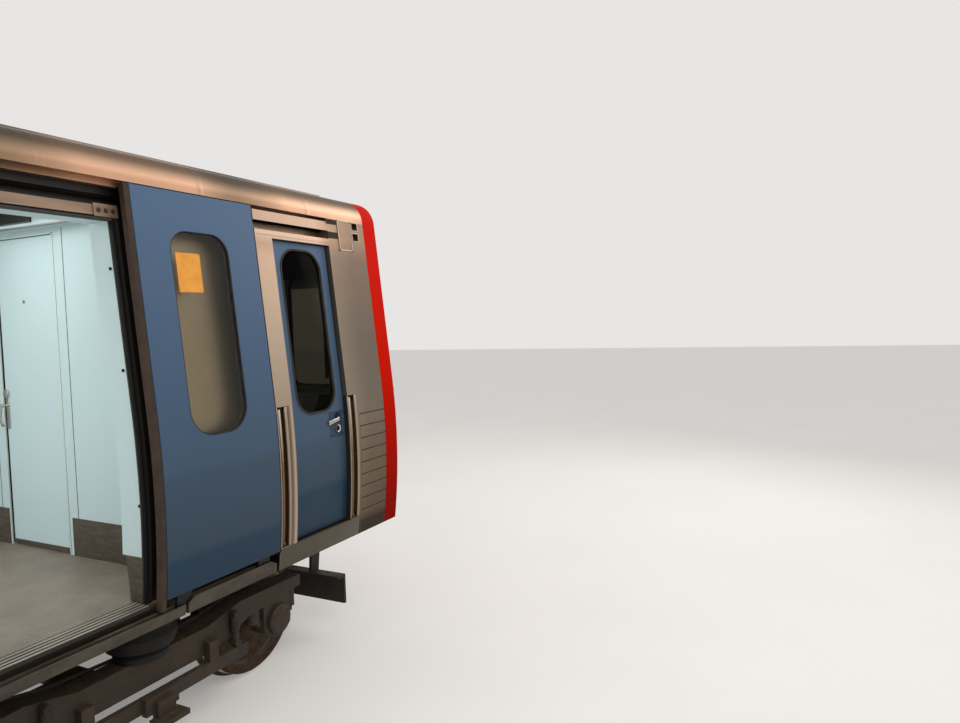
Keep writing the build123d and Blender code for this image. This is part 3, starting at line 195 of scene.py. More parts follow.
# a material under construction
class Finish:
    def __init__(self, name, **sockets):
        self.material = bpy.data.materials.new(name)
        self.material.use_nodes = True
        self.tree = self.material.node_tree
        self.shader = self.tree.nodes["Principled BSDF"]
        for socket, value in sockets.items():
            self.shader.inputs[socket.replace("_", " ")].default_value = value
        self.place = self.add("ShaderNodeTexCoord").outputs["Object"]
        self.relief = None

    def add(self, kind, **settings):
        node = self.tree.nodes.new(kind)
        for key, value in settings.items():
            setattr(node, key, value)
        return node

    def wire(self, source, socket):
        self.tree.links.new(source, socket)

    def stretched(self, scale):
        mapping = self.add("ShaderNodeMapping")
        mapping.inputs["Scale"].default_value = scale
        self.wire(self.place, mapping.inputs["Vector"])
        return mapping.outputs["Vector"]

    def noise(self, scale, detail=4.0, stretch=None, roughness=0.55):
        node = self.add("ShaderNodeTexNoise")
        node.inputs["Scale"].default_value = scale
        node.inputs["Detail"].default_value = detail
        node.inputs["Roughness"].default_value = roughness
        self.wire(self.stretched(stretch) if stretch else self.place, node.inputs["Vector"])
        return node.outputs["Fac"]

    def cells(self, scale):
        node = self.add("ShaderNodeTexVoronoi")
        node.inputs["Scale"].default_value = scale
        self.wire(self.place, node.inputs["Vector"])
        return node.outputs["Distance"]

    def axis(self, letter, source=None):
        node = self.add("ShaderNodeSeparateXYZ")
        self.wire(source or self.place, node.inputs[0])
        return node.outputs[letter]

    def normal(self, letter):
        return self.axis(letter, self.add("ShaderNodeTexCoord").outputs["Normal"])

    def math(self, operation, a, b=None):
        node = self.add("ShaderNodeMath", operation=operation)
        for socket, value in zip(node.inputs, (a, b)):
            if value is None:
                continue
            if isinstance(value, (int, float)):
                socket.default_value = value
            else:
                self.wire(value, socket)
        return node.outputs[0]

    # product of several values
    def times(self, first, *others):
        for other in others:
            first = self.math("MULTIPLY", first, other)
        return first

    # 1 where the value lies between two limits
    def within(self, value, low, high):
        return self.times(self.math("GREATER_THAN", value, low), self.math("LESS_THAN", value, high))

    # what a value leaves of 1
    def rest(self, value):
        return self.math("SUBTRACT", 1.0, value)

    # rises and falls around 0 with the given pitch
    def ripple(self, letter, pitch):
        return self.math("SINE", self.times(self.axis(letter), 2 * pi / pitch))

    # climbs from 0 to 1 over each pitch, counted from the start
    def repeat(self, value, start, pitch):
        return self.math("FRACT", self.math("DIVIDE", self.math("SUBTRACT", value, start), pitch))

    def ramp(self, source, *stops):
        node = self.add("ShaderNodeValToRGB")
        band = node.color_ramp
        while len(band.elements) < len(stops):
            band.elements.new(0.5)
        for element, (place, colour) in zip(band.elements, stops):
            element.position = place
            element.color = (*colour, 1) if isinstance(colour, tuple) else (colour, colour, colour, 1)
        self.wire(source, node.inputs["Fac"])
        return node.outputs["Color"]

    def mix(self, factor, a, b, blend="MIX"):
        node = self.add("ShaderNodeMix", data_type="RGBA", blend_type=blend)
        for name, value in (("Factor", factor), ("A", a), ("B", b)):
            kind = "VALUE" if name == "Factor" else "RGBA"
            socket = [s for s in node.inputs if s.name == name and s.type == kind][0]
            if isinstance(value, (int, float)):
                socket.default_value = value
            elif isinstance(value, tuple):
                socket.default_value = (*value, 1)
            else:
                self.wire(value, socket)
        return [s for s in node.outputs if s.type == "RGBA"][0]

    # product of two colours
    def tinted(self, a, b):
        return self.mix(1.0, a, b, "MULTIPLY")

    # 0 on faces that clearly look towards the car's middle line, 1 on the others
    def facesOut(self):
        return self.math("GREATER_THAN", self.times(self.normal("Y"), self.axis("Y")), -0.45)

    # 0 at the first limit, 1 at the second
    def between(self, value, low, high):
        spread = self.add("ShaderNodeMapRange")
        spread.inputs["From Min"].default_value = low
        spread.inputs["From Max"].default_value = high
        self.wire(value, spread.inputs["Value"])
        return spread.outputs[0]

    # the same for heights; where the first is the higher one, it rises towards the ground
    def rising(self, low, high):
        return self.between(self.axis("Z"), low, high)

    def colour(self, source):
        self.wire(source, self.shader.inputs["Base Color"])
        return self

    def rough(self, source, low, high):
        spread = self.add("ShaderNodeMapRange")
        spread.inputs["To Min"].default_value = low
        spread.inputs["To Max"].default_value = high
        self.wire(source, spread.inputs["Value"])
        self.wire(spread.outputs[0], self.shader.inputs["Roughness"])
        return self

    # a second bump lies over the first
    def bump(self, height, distance, strength=1.0):
        node = self.add("ShaderNodeBump")
        node.inputs["Distance"].default_value = distance
        node.inputs["Strength"].default_value = strength
        self.wire(height, node.inputs["Height"])
        if self.relief:
            self.wire(self.relief, node.inputs["Normal"])
        self.relief = node.outputs["Normal"]
        self.wire(self.relief, self.shader.inputs["Normal"])
        return self


def studioFloorFinish():
    f = Finish("studioFloor", Roughness=0.9, Specular_IOR_Level=0.1)
    f.shader.inputs["Emission Color"].default_value = (1, 0.985, 0.96, 1)
    f.wire(f.times(seenRays(f.tree), 0.22), f.shader.inputs["Emission Strength"])
    f.colour(f.ramp(f.noise(0.6, 5), (0.35, (0.78, 0.765, 0.745)), (0.7, (0.81, 0.795, 0.775))))
    return f.material


# a colour given as 0-255 screen values
def srgb(red, green, blue):
    return tuple((v / 255 / 12.92) if v <= 10 else ((v / 255 + 0.055) / 1.055) ** 2.4
                 for v in (red, green, blue))


def scaled(base, factor):
    return srgb(*[min(255, v * factor) for v in base])


# patchy film that thickens towards the car's lower edge
def dirtMask(f, low, high):
    patches = f.ramp(f.noise(2.6, 8, (0.5, 1, 1.6)), (0.30, 0.25), (0.72, 1.0))
    return f.times(f.rising(high, low), patches)


# brushed stainless outside, with the lining's colour on the faces that look inwards
def stainlessFinish(name, lining=None, tint=(0.375, 0.305, 0.24), zones=None, tone=None):
    f = Finish(name, Metallic=1.0, Roughness=0.4)
    streaks = f.noise(9, 6, (0.35, 26, 26), 0.7)
    clouds = f.noise(0.9, 5, (1, 1, 0.5))
    darker = tuple(v * 0.88 for v in tint)
    lighter = tuple(v * 1.12 for v in tint)
    brushed = f.ramp(streaks, (0.30, darker), (0.70, lighter))
    steel = f.mix(0.5, brushed, f.ramp(clouds, (0.3, tuple(v * 0.8 for v in tint)), (0.75, lighter)))
    steel = f.mix(dirtMask(f, 0.85, 1.9), steel, tuple(v * 0.62 for v in tint))
    # tone paints the light and shade of reflections into the steel's colour
    if tone:
        steel = f.tinted(steel, tone(f))
    f.rough(f.mix(0.5, streaks, clouds), 0.34, 0.52)
    f.bump(streaks, 0.0005, 0.3)
    metal = None
    if lining:
        metal = f.facesOut()
        steel = f.mix(metal, lining, steel)
    if zones:
        steel, metal = zones(f, steel, metal)
    if metal:
        f.wire(metal, f.shader.inputs["Metallic"])
    return f.colour(steel).material


# the unlit zone around the door rail, painted near black as shade with grease, and lining on the end
# wall's inner face
wallZone = {
    "railShadeLow": 3.10,
    "endWall": -7.6,
}


def wallZones(f, steel, metal):
    railZone = f.times(f.math("GREATER_THAN", f.axis("Z"), wallZone["railShadeLow"]), metal)
    # near black: painted shade of the rail's recess, with grease
    grease = f.ramp(f.noise(12, 7), (0.3, srgb(4, 3, 3)), (0.75, srgb(12, 10, 9)))
    steel = f.mix(railZone, steel, grease)
    endWall = f.math("LESS_THAN", f.axis("X"), wallZone["endWall"])
    endInside = f.times(endWall, f.math("GREATER_THAN", f.normal("X"), 0.5))
    steel = f.mix(endInside, steel, teal)
    return steel, f.times(metal, f.rest(railZone), f.rest(endInside))


# Painted reflections on the cab sides by height, as shares of the rise: this painted light and shade
# darkens from the saloon to the front, most of all above and below the door's middle, with painted
# highlights near the top.
cabReflectionShades = {
    "rise": (0.9, 3.3),
    "nearSaloon": (
        (0.04, (0.22, 0.19, 0.14)), (0.08, (0.52, 0.44, 0.40)), (0.46, (0.68, 0.645, 0.61)),
        (0.63, (0.76, 0.73, 0.69)), (0.86, (0.86, 0.74, 0.68)), (0.90, (0.72, 0.61, 0.56)),
        (0.94, (1.0, 0.89, 0.85)), (0.965, (0.80, 0.68, 0.64)),
    ),
    "nearFront": (
        (0.04, (0.075, 0.06, 0.04)), (0.08, (0.28, 0.24, 0.20)), (0.21, (0.30, 0.26, 0.23)),
        (0.375, (0.365, 0.345, 0.335)), (0.46, (0.325, 0.325, 0.325)), (0.63, (0.255, 0.25, 0.25)),
        (0.80, (0.24, 0.21, 0.195)), (0.88, (0.25, 0.215, 0.205)), (0.94, (0.39, 0.32, 0.28)),
    ),
    "frontLift": (1.45, 1.45, 1.45),
    # the front's painted reflections fade from the cab door forwards
    "fadeX": (7.08, 7.54),
    "fade": ((0.0, 1.0), (0.3, 0.82), (0.55, 0.69), (1.0, 0.64)),
    # where the saloon's painted reflections turn into the front's
    "turnX": (6.95, 7.10),
}


# painted reflections of the cab sides, multiplied into the steel's colour
def cabReflectionShade(f):
    shading = cabReflectionShades
    x, height = f.axis("X"), f.rising(*shading["rise"])
    nearSaloon = f.ramp(height, *shading["nearSaloon"])
    fade = f.ramp(f.between(x, *shading["fadeX"]), *shading["fade"])
    nearFront = f.tinted(f.ramp(height, *shading["nearFront"]), fade)
    nearFront = f.tinted(nearFront, shading["frontLift"])
    return f.mix(f.between(x, *shading["turnX"]), nearSaloon, nearFront)


# Zones of the cab sides. The grab rails' recesses carry painted shade, grey-brown towards the saloon and
# warm brown towards the front. The strip behind the door's edge turns from brown to bright, the painted
# shade and highlight of a rounded lip, and the lines and the rear edge of the front panel are dark.
cabZone = {
    "stripX": (6.4365, 6.500),
    "stripZ": (1.060, 1.990),
    "firstLine": 1.002,
    "linePitch": 0.092,
    # where a line lies within its pitch
    "lineShare": (0.017, 0.117),
    "panelX": (7.2135, 7.5405),
    "panelZ": (0.99, 1.845),
    "panelEdgeX": (7.2125, 7.2165),
    "panelEdgeZ": (0.93, 1.842),
    "recesses": ((6.3385, 6.4365), (7.0825, 7.1895)),
    "recessZ": (1.066, 1.990),
    # the shade climbs from here and, two turns further on, again from the second recess's edge
    "shadeStart": 6.3395,
    "shadeTurn": 0.37225,
    "shadeWidth": 0.095,
}


def recessZones(f, steel, metal):
    zone = cabZone
    x, z = f.axis("X"), f.axis("Z")
    # the strip behind the door's edge: painted shade and highlight of a rounded lip
    strip = f.times(f.within(x, *zone["stripX"]), f.within(z, *zone["stripZ"]), metal)
    paintedLipLight = f.ramp(f.between(x, *zone["stripX"]), (0.0, srgb(86, 64, 44)), (0.35, srgb(126, 104, 84)),
                    (0.62, srgb(186, 166, 146)), (0.85, srgb(150, 132, 114)), (1.0, srgb(92, 78, 64)))
    steel = f.mix(strip, steel, paintedLipLight)
    row = f.within(f.repeat(z, zone["firstLine"], zone["linePitch"]), *zone["lineShare"])
    lines = f.times(row, f.within(x, *zone["panelX"]), f.within(z, *zone["panelZ"]), metal)
    edge = f.times(f.within(x, *zone["panelEdgeX"]), f.within(z, *zone["panelEdgeZ"]), metal)
    lines = f.math("MAXIMUM", lines, edge)
    steel = f.mix(lines, steel, srgb(58, 48, 38))
    # pockets: painted shade inside the grab rails' recesses
    pockets = f.math("ADD", *[f.within(x, *recess) for recess in zone["recesses"]])
    inside = f.times(pockets, f.within(z, *zone["recessZ"]), metal)
    shade = f.math("PINGPONG", f.math("SUBTRACT", x, zone["shadeStart"]), zone["shadeTurn"])
    across = f.mix(0.25, f.between(shade, 0.0, zone["shadeWidth"]), f.noise(9, 7, (1, 1, 0.3)))
    brown = f.ramp(across, (0.05, srgb(42, 37, 31)), (0.45, srgb(70, 54, 39)), (0.9, srgb(104, 80, 58)))
    steel = f.mix(inside, steel, brown)
    dull = f.math("MAXIMUM", inside, f.math("MAXIMUM", strip, lines))
    return steel, f.times(metal, f.rest(f.times(dull, 0.75)))


# door paint, darker towards the floor in soft level bands, the lowest up to the height lowBand, and
# the lining's colour on its inner face
def bluePaint(name, inside, lowBand=1.27):
    f = Finish(name, Roughness=0.42, Specular_IOR_Level=0.22)
    low, high = 1.0, 3.25
    edge = (lowBand - low) / (high - low)
    height = f.mix(0.03, f.rising(low, high), f.noise(0.8, 4, (0.8, 1, 0.4)))
    paint = f.ramp(height, (0.0, srgb(24, 50, 70)), (edge - 0.010, srgb(28, 56, 78)),
                   (edge + 0.006, srgb(48, 68, 86)), (0.31, srgb(60, 80, 100)),
                   (0.33, srgb(64, 86, 110)), (0.62, srgb(70, 95, 124)), (0.95, srgb(80, 106, 138)))
    scuffs = f.ramp(f.noise(34, 8, (0.25, 1, 3.0), 0.75), (0.66, 0.0), (0.82, 0.22))
    paint = f.mix(f.times(scuffs, f.rising(1.9, 1.05)), paint, srgb(88, 90, 88))
    f.rough(f.noise(5, 6), 0.34, 0.50)
    f.bump(f.noise(230, 2), 0.0003, 0.2)
    f.bump(f.noise(1.7, 2), 0.012, 0.05)
    paint = f.mix(f.facesOut(), inside, paint)
    paint = f.mix(f.math("LESS_THAN", f.axis("Z"), leafLow - 0.0005), paint, srgb(22, 20, 18))
    return f.colour(paint).material


# pale lining sheets with a slight orange-peel gloss and hand marks
def laminate(name, base):
    f = Finish(name, Roughness=0.34, Specular_IOR_Level=0.3)
    height = f.rising(1.0, 3.2)
    tone = f.ramp(f.mix(0.25, height, f.noise(0.9, 6, (1, 1, 0.4))), (0.1, scaled(base, 0.93)),
                  (0.7, srgb(*base)))
    marks = f.ramp(f.noise(18, 9, (1, 1, 0.5), 0.7), (0.62, 0.0), (0.85, 0.30))
    f.colour(f.mix(f.times(marks, f.rising(1.7, 1.05)), tone, srgb(120, 122, 112)))
    f.rough(f.noise(7, 5), 0.28, 0.46)
    return f.bump(f.noise(160, 2), 0.0004, 0.2).material


# enamel of the front surround, with one dark joint and chips near the floor
def glossRed():
    f = Finish("redEnamel", Roughness=0.4, Specular_IOR_Level=0.015)
    tone = f.ramp(f.rising(0.9, 3.3), (0.0, srgb(132, 8, 0)), (0.3, srgb(176, 16, 0)),
                  (0.5, srgb(202, 22, 0)), (0.85, srgb(214, 18, 0)))
    joint = f.within(f.axis("Z"), 1.0725, 1.0775)
    tone = f.mix(joint, tone, srgb(60, 8, 4))
    chips = f.ramp(f.cells(55), (0.02, 1.0), (0.05, 0.0))
    f.colour(f.mix(f.times(chips, f.rising(1.35, 0.95)), tone, srgb(96, 40, 30)))
    f.rough(f.noise(6, 6), 0.34, 0.50)
    return f.bump(f.noise(190, 2), 0.0003, 0.2).material


def rubber(name, base, scale=120):
    f = Finish(name, Roughness=0.62, Specular_IOR_Level=0.2)
    f.colour(f.ramp(f.noise(14, 8), (0.3, scaled(base, 0.75)), (0.75, srgb(*base))))
    f.rough(f.noise(22, 6), 0.5, 0.8)
    return f.bump(f.noise(scale, 3), 0.0008, 0.3).material


# tinted panes; above the given height a pane has a nearly black band of painted shade
def glass(name, tint, roughness=0.03, bend=1.25, paintedShadeAbove=None):
    f = Finish(name, Roughness=roughness, IOR=bend, Transmission_Weight=1.0)
    dusty = tuple(v * 0.94 for v in tint)
    colour = f.ramp(f.noise(3.0, 8, (1, 1, 0.6)), (0.35, tint), (0.8, dusty))
    if paintedShadeAbove:
        colour = f.mix(f.rising(paintedShadeAbove - 0.006, paintedShadeAbove), colour, (0.02, 0.022, 0.02))
    f.colour(colour)
    f.rough(f.noise(9, 7), roughness, roughness + 0.06)
    return f.bump(f.noise(1.3, 2), 0.002, 0.03).material


# painted underframe steel under brake dust
def darkSteel(name, base=(46, 42, 38), dust=(96, 84, 70), metallic=0.4):
    f = Finish(name, Metallic=metallic, Roughness=0.6, Specular_IOR_Level=0.3)
    pits = f.noise(46, 8, None, 0.7)
    tone = f.ramp(f.noise(7, 8), (0.3, srgb(*base)), (0.8, scaled(base, 1.3)))
    upward = f.between(f.normal("Z"), 0.2, 1.0)
    settled = f.times(f.ramp(f.noise(11, 8), (0.3, 0.15), (0.7, 0.8)), upward)
    f.colour(f.mix(settled, tone, srgb(*dust)))
    f.rough(pits, 0.5, 0.82)
    return f.bump(pits, 0.002, 0.4).material


# bright tread and flange, brown elsewhere
def wheelSteel():
    f = Finish("wheelSteel", Metallic=0.9, Roughness=0.4)
    tread = f.math("LESS_THAN", f.math("ABSOLUTE", f.normal("Y")), 0.5)
    bright = f.times(tread, f.within(f.math("ABSOLUTE", f.axis("Y")), 0.684, 0.818))
    rust = f.ramp(f.noise(16, 9), (0.3, srgb(58, 44, 34)), (0.75, srgb(92, 74, 58)))
    steel = f.ramp(f.noise(60, 4, (1, 5, 1)), (0.3, srgb(150, 144, 138)), (0.7, srgb(190, 184, 176)))
    f.colour(f.mix(bright, rust, steel))
    worn = f.ramp(f.noise(30, 6), (0.3, 0.65), (0.7, 0.85))
    f.rough(f.mix(bright, worn, (0.22, 0.22, 0.22)), 0, 1)
    return f.bump(f.noise(50, 6), 0.0015, 0.3).material


# rubber flooring with rows of small studs and a wavy sheen
def ribbedFloor():
    f = Finish("floorRubber", Roughness=0.5, Specular_IOR_Level=0.35)
    studs = f.ramp(f.times(f.ripple("X", 0.032), f.ripple("Y", 0.020)), (0.18, 0.0), (0.45, 1.0))
    tone = f.ramp(f.noise(3.2, 8), (0.3, srgb(104, 93, 82)), (0.75, srgb(138, 124, 110)))
    dust = f.ramp(f.noise(40, 6), (0.62, 0.0), (0.72, 0.5))
    tone = f.mix(dust, tone, srgb(164, 156, 144))
    f.colour(f.mix(f.times(studs, 0.55), tone, srgb(166, 158, 146)))
    f.rough(f.noise(12, 8), 0.30, 0.55)
    f.bump(f.noise(14, 4, (0.6, 2.2, 1)), 0.003, 0.12)
    return f.bump(studs, 0.0012, 0.8).material


# worn aluminium thresholds with dark rows above, dirty guide beams below
thresholdFinish = {
    "insets": (0.182, 0.050),
    # the first dark row starts this far before the threshold's middle
    "beforeMiddle": 0.035,
    "pitch": 0.032,
    "darkShare": 0.42,
    "beamTop": 1.009,
    "treadLow": 1.0335,
}


def thresholdAndBeam():
    sizes = thresholdFinish
    f = Finish("thresholdAndBeam", Metallic=0.35, Roughness=0.4)
    upper = f.math("GREATER_THAN", f.axis("Z"), sizes["beamTop"])
    worn = f.ramp(f.noise(30, 7, (0.15, 3, 3)), (0.3, srgb(128, 114, 99)), (0.75, srgb(190, 175, 158)))
    firstRow = sum(sideY(inset, floorTop) for inset in sizes["insets"]) / 2 - sizes["beforeMiddle"]
    across = f.repeat(f.math("ABSOLUTE", f.axis("Y")), firstRow, sizes["pitch"])
    groove = f.math("LESS_THAN", f.axis("Z"), sizes["treadLow"])
    groove = f.math("MAXIMUM", groove, f.within(across, 0.0, sizes["darkShare"]))
    worn = f.mix(groove, worn, srgb(30, 26, 22))
    grime = f.ramp(f.noise(9, 9, (0.4, 1, 1)), (0.28, srgb(44, 40, 34)), (0.78, srgb(88, 80, 68)))
    rubbed = f.ramp(f.noise(16, 6, (0.2, 1, 1)), (0.35, srgb(70, 62, 52)), (0.7, srgb(140, 126, 108)))
    grime = f.mix(f.between(f.normal("Z"), 0.3, 0.9), grime, rubbed)
    f.colour(f.mix(upper, grime, worn))
    beamRough = f.ramp(f.noise(25, 6), (0.3, 0.5), (0.7, 0.75))
    f.rough(f.mix(upper, beamRough, (0.34, 0.34, 0.34)), 0, 1)
    return f.bump(f.noise(70, 5, (0.2, 1, 1)), 0.0012, 0.3).material


# header bars in worn stainless, the rail above them in dark greased steel
def gearFinish():
    f = Finish("doorGear", Metallic=0.9, Roughness=0.45, Specular_IOR_Level=0.1)
    rail = f.math("GREATER_THAN", f.axis("Z"), carBody["railLow"])
    bar = f.ramp(f.noise(14, 6, (0.3, 2, 2)), (0.25, srgb(134, 114, 97)), (0.75, srgb(164, 141, 121)))
    grease = f.ramp(f.noise(40, 6), (0.3, srgb(5, 4, 4)), (0.75, srgb(14, 13, 12)))
    f.colour(f.mix(rail, bar, grease))
    f.rough(f.noise(18, 6), 0.34, 0.58)
    return f.bump(f.noise(60, 4), 0.0008, 0.3).material


# stainless lip in lengthwise bands of painted highlight and shade, that turns to a dusty painted skin
# higher up
roofFinish = {
    "lipZ": (3.29, 3.50),
    "skinZ": (3.50, 3.56),
    # painted highlight and shade of the lip, by share of its height
    "paintedReflectionBands": (
        (0.05, (0.60, 0.36, 0.24)), (0.19, (0.62, 0.36, 0.23)), (0.31, (0.80, 0.49, 0.34)),
        (0.43, (0.70, 0.43, 0.29)), (0.54, (0.48, 0.32, 0.21)), (0.64, (0.28, 0.18, 0.115)),
        (0.74, (0.19, 0.11, 0.062)), (0.86, (0.13, 0.072, 0.04)), (0.90, (0.34, 0.25, 0.20)),
    ),
    # the painted highlights are brightest here and again at each pitch along the car
    "paintedHighlightAt": 5.80,
    "paintedHighlightPitch": 1.5,
    "paintedShadeTint": (0.47, 0.52, 0.50),
    "seamPitch": 0.95,
}


def roofPaint():
    trim = roofFinish
    f = Finish("roofSkin", Metallic=0.6, Roughness=0.42)
    skin = f.rising(*trim["skinZ"])
    streaks = f.noise(8, 6, (0.3, 22, 22), 0.7)
    clouds = f.noise(1.2, 7, (0.5, 1, 1))
    # band: the lip's painted highlight and shade, dimmed further to painted shade between the brightest
    # places
    band = f.ramp(f.rising(*trim["lipZ"]), *trim["paintedReflectionBands"])
    drift = f.math("ADD", f.axis("X"), f.times(f.noise(1.1, 3), 0.5))
    turns = f.times(f.math("SUBTRACT", drift, trim["paintedHighlightAt"]), 2 * pi / trim["paintedHighlightPitch"])
    darker = f.between(f.math("COSINE", turns), 0.1, -1.0)
    band = f.mix(darker, band, f.tinted(band, trim["paintedShadeTint"]))
    worn = f.mix(0.5, streaks, clouds)
    grain = f.ramp(worn, (0.3, (0.84, 0.84, 0.84)), (0.72, (1.0, 1.0, 1.0)))
    paint = f.ramp(f.noise(2.2, 9, (0.4, 1, 1)), (0.3, srgb(104, 95, 85)), (0.75, srgb(132, 123, 111)))
    seams = f.ramp(f.ripple("X", trim["seamPitch"]), (0.99, 0.0), (1.0, 1.0))
    paint = f.mix(f.times(seams, 0.5), paint, srgb(78, 72, 66))
    f.colour(f.mix(skin, f.tinted(band, grain), paint))
    f.wire(f.rest(f.times(skin, 0.85)), f.shader.inputs["Metallic"])
    f.rough(worn, 0.34, 0.58)
    f.bump(streaks, 0.0006, 0.3)
    return f.bump(seams, 0.003, 0.5).material


# smooth plastic or paint with a fine grain
def mouldedPlastic(name, base, gloss, grain=320):
    f = Finish(name, Roughness=0.4, Specular_IOR_Level=0.35)
    f.colour(f.ramp(f.noise(4, 7), (0.3, scaled(base, 0.88)), (0.75, srgb(*base))))
    f.rough(f.noise(13, 6), *gloss)
    return f.bump(f.cells(grain), 0.0005, 0.3).material


# skirting sheets with faint streaks and scuffs
def kickSheet():
    f = Finish("kickPlate", Roughness=0.5, Specular_IOR_Level=0.35)
    streaks = f.noise(12, 7, (1, 1, 5))
    tone = f.ramp(streaks, (0.3, srgb(58, 51, 43)), (0.75, srgb(84, 76, 66)))
    scuffs = f.ramp(f.noise(26, 8, (1, 1, 0.4), 0.75), (0.66, 0.0), (0.8, 0.5))
    f.colour(f.mix(f.times(scuffs, f.rising(1.2, 1.04)), tone, srgb(150, 142, 128)))
    f.rough(f.noise(13, 6), 0.38, 0.6)
    return f.bump(streaks, 0.0006, 0.3).material


# plain weave with scattered coloured flecks
def wovenCloth(name, base, fleck):
    f = Finish(name, Roughness=0.9, Sheen_Weight=0.3)
    warp, weft, rows = (f.ripple(letter, 0.003) for letter in "YZX")
    weave = f.times(f.math("ADD", warp, weft), rows)
    flecks = f.ramp(f.cells(46), (0.16, 1.0), (0.24, 0.0))
    ground = f.ramp(f.noise(5, 6), (0.3, scaled(base, 0.85)), (0.7, srgb(*base)))
    f.colour(f.mix(flecks, ground, srgb(*fleck)))
    return f.bump(f.ramp(weave, (0.2, 0.0), (0.9, 1.0)), 0.0012, 0.6).material


def polishedTube(name, base=(198, 192, 184), low=0.10, high=0.26):
    f = Finish(name, Metallic=1.0, Roughness=0.18)
    f.colour(f.ramp(f.noise(6, 6), (0.3, scaled(base, 0.9)), (0.75, srgb(*base))))
    f.rough(f.noise(28, 8), low, high)
    return f.bump(f.noise(130, 3), 0.0003, 0.2).material


# grab rails in the recesses: a painted highlight at the top, brown further down
def recessRod():
    f = Finish("recessRod", Metallic=1.0, Roughness=0.3)
    height = f.rising(1.05, 2.0)
    f.colour(f.ramp(f.mix(0.2, height, f.noise(9, 6, (1, 1, 0.4))), (0.0, srgb(104, 80, 58)),
                    (0.55, srgb(124, 98, 74)), (0.72, srgb(176, 160, 142)), (0.85, srgb(206, 198, 186))))
    f.rough(f.noise(28, 8), 0.18, 0.36)
    return f.bump(f.noise(130, 3), 0.0003, 0.2).material


def lampDiffuser():
    f = Finish("lampDiffuser", Roughness=0.4, Emission_Strength=1.3)
    glow = f.ramp(f.noise(2.0, 3), (0.3, (0.86, 0.93, 0.96)), (0.7, (0.95, 0.98, 1.0)))
    f.wire(glow, f.shader.inputs["Emission Color"])
    return f.colour(glow).bump(f.ripple("X", 0.012), 0.001, 0.3).material


# orange sticker; its own colour also drives a faint glow, a painted brightness
def orangeSticker():
    f = Finish("orangeSticker", Roughness=0.5, Specular_IOR_Level=0.3, Emission_Strength=0.12)
    tone = f.ramp(f.noise(18, 7), (0.3, srgb(216, 142, 50)), (0.75, srgb(236, 164, 64)))
    f.wire(tone, f.shader.inputs["Emission Color"])
    f.colour(tone)
    f.rough(f.noise(30, 5), 0.4, 0.6)
    return f.bump(f.noise(90, 3), 0.0003, 0.3).material


liningTone = (186, 206, 208)
teal = srgb(*liningTone)
cabGrey = srgb(58, 58, 54)
finishes = {
    "side": stainlessFinish("sideSteel", teal, zones=wallZones),
    "cab": stainlessFinish("cabSideSteel", cabGrey, (0.60, 0.488, 0.384), recessZones, cabReflectionShade),
    "plain": stainlessFinish("trimSteel"),
    "sill": stainlessFinish("sillSteel", None, (0.135, 0.12, 0.09)),
    "leaf": bluePaint("doorPaint", teal),
    "cabDoor": bluePaint("cabDoorPaint", cabGrey, 1.40),
    "plate": mouldedPlastic("handlePlate", (40, 62, 86), (0.35, 0.5)),
    "lining": laminate("paleLining", liningTone),
    "kick": kickSheet(),
    "red": glossRed(),
    "rubber": rubber("blackRubber", (24, 22, 20)),
    "windowRubber": rubber("windowRubber", (52, 50, 44)),
    "nose": rubber("brownRubber", (72, 58, 49), 60),
    "seal": rubber("greySeal", (72, 70, 66)),
    "cabSeal": rubber("cabWindowSeal", (66, 60, 52)),
    "leafGlass": glass("leafGlass", (0.85, 0.84, 0.74)),
    "sideGlass": glass("sideGlass", (0.60, 0.62, 0.56)),
    "cabGlass": glass("cabGlass", (0.19, 0.18, 0.15), bend=1.07, paintedShadeAbove=2.835),
    "underframe": darkSteel("underframeSteel"),
    "bogie": darkSteel("bogieSteel", (56, 48, 41), (104, 88, 70), 0.3),
    "case": darkSteel("caseSteel", (70, 73, 72), (104, 97, 86), 0.2),
    "wheel": wheelSteel(),
    "floor": ribbedFloor(),
    "threshold": thresholdAndBeam(),
    "gear": gearFinish(),
    "roof": roofPaint(),
    "vent": mouldedPlastic("ventPaint", (138, 131, 120), (0.45, 0.7), 60),
    "ceiling": laminate("ceilingPanel", (214, 213, 204)),
    "lamp": lampDiffuser(),
    "lens": glass("lampLens", (0.86, 0.86, 0.82), 0.02),
    "desk": mouldedPlastic("deskPlastic", (66, 68, 68), (0.4, 0.6)),
    "seatShell": mouldedPlastic("seatShell", (52, 82, 124), (0.25, 0.42)),
    "seatCloth": wovenCloth("seatCloth", (34, 44, 62), (108, 74, 44)),
    "seatFrame": mouldedPlastic("seatFrame", (34, 34, 34), (0.45, 0.65), 200),
    "tube": polishedTube("polishedTube"),
    "rod": recessRod(),
    "jambRubber": rubber("jambRubber", (16, 14, 13)),
    "slotRust": rubber("slotRust", (52, 32, 22), 40),
    "postEdge": laminate("postEdge", (196, 206, 200)),
    "chrome": polishedTube("chromeFittings", (206, 202, 196), 0.06, 0.18),
    "frame": polishedTube("windowFrame", (150, 150, 146), 0.35, 0.5),
    "spring": rubber("springRubber", (34, 32, 30)),
    "screw": polishedTube("screwHeads", (96, 86, 74), 0.35, 0.55),
    "sticker": orangeSticker(),
    "display": mouldedPlastic("displayFace", (14, 16, 13), (0.08, 0.16), 400),
    "button": mouldedPlastic("deskButtons", (150, 148, 140), (0.3, 0.45), 500),
}
print("finishes made:", len(finishes))

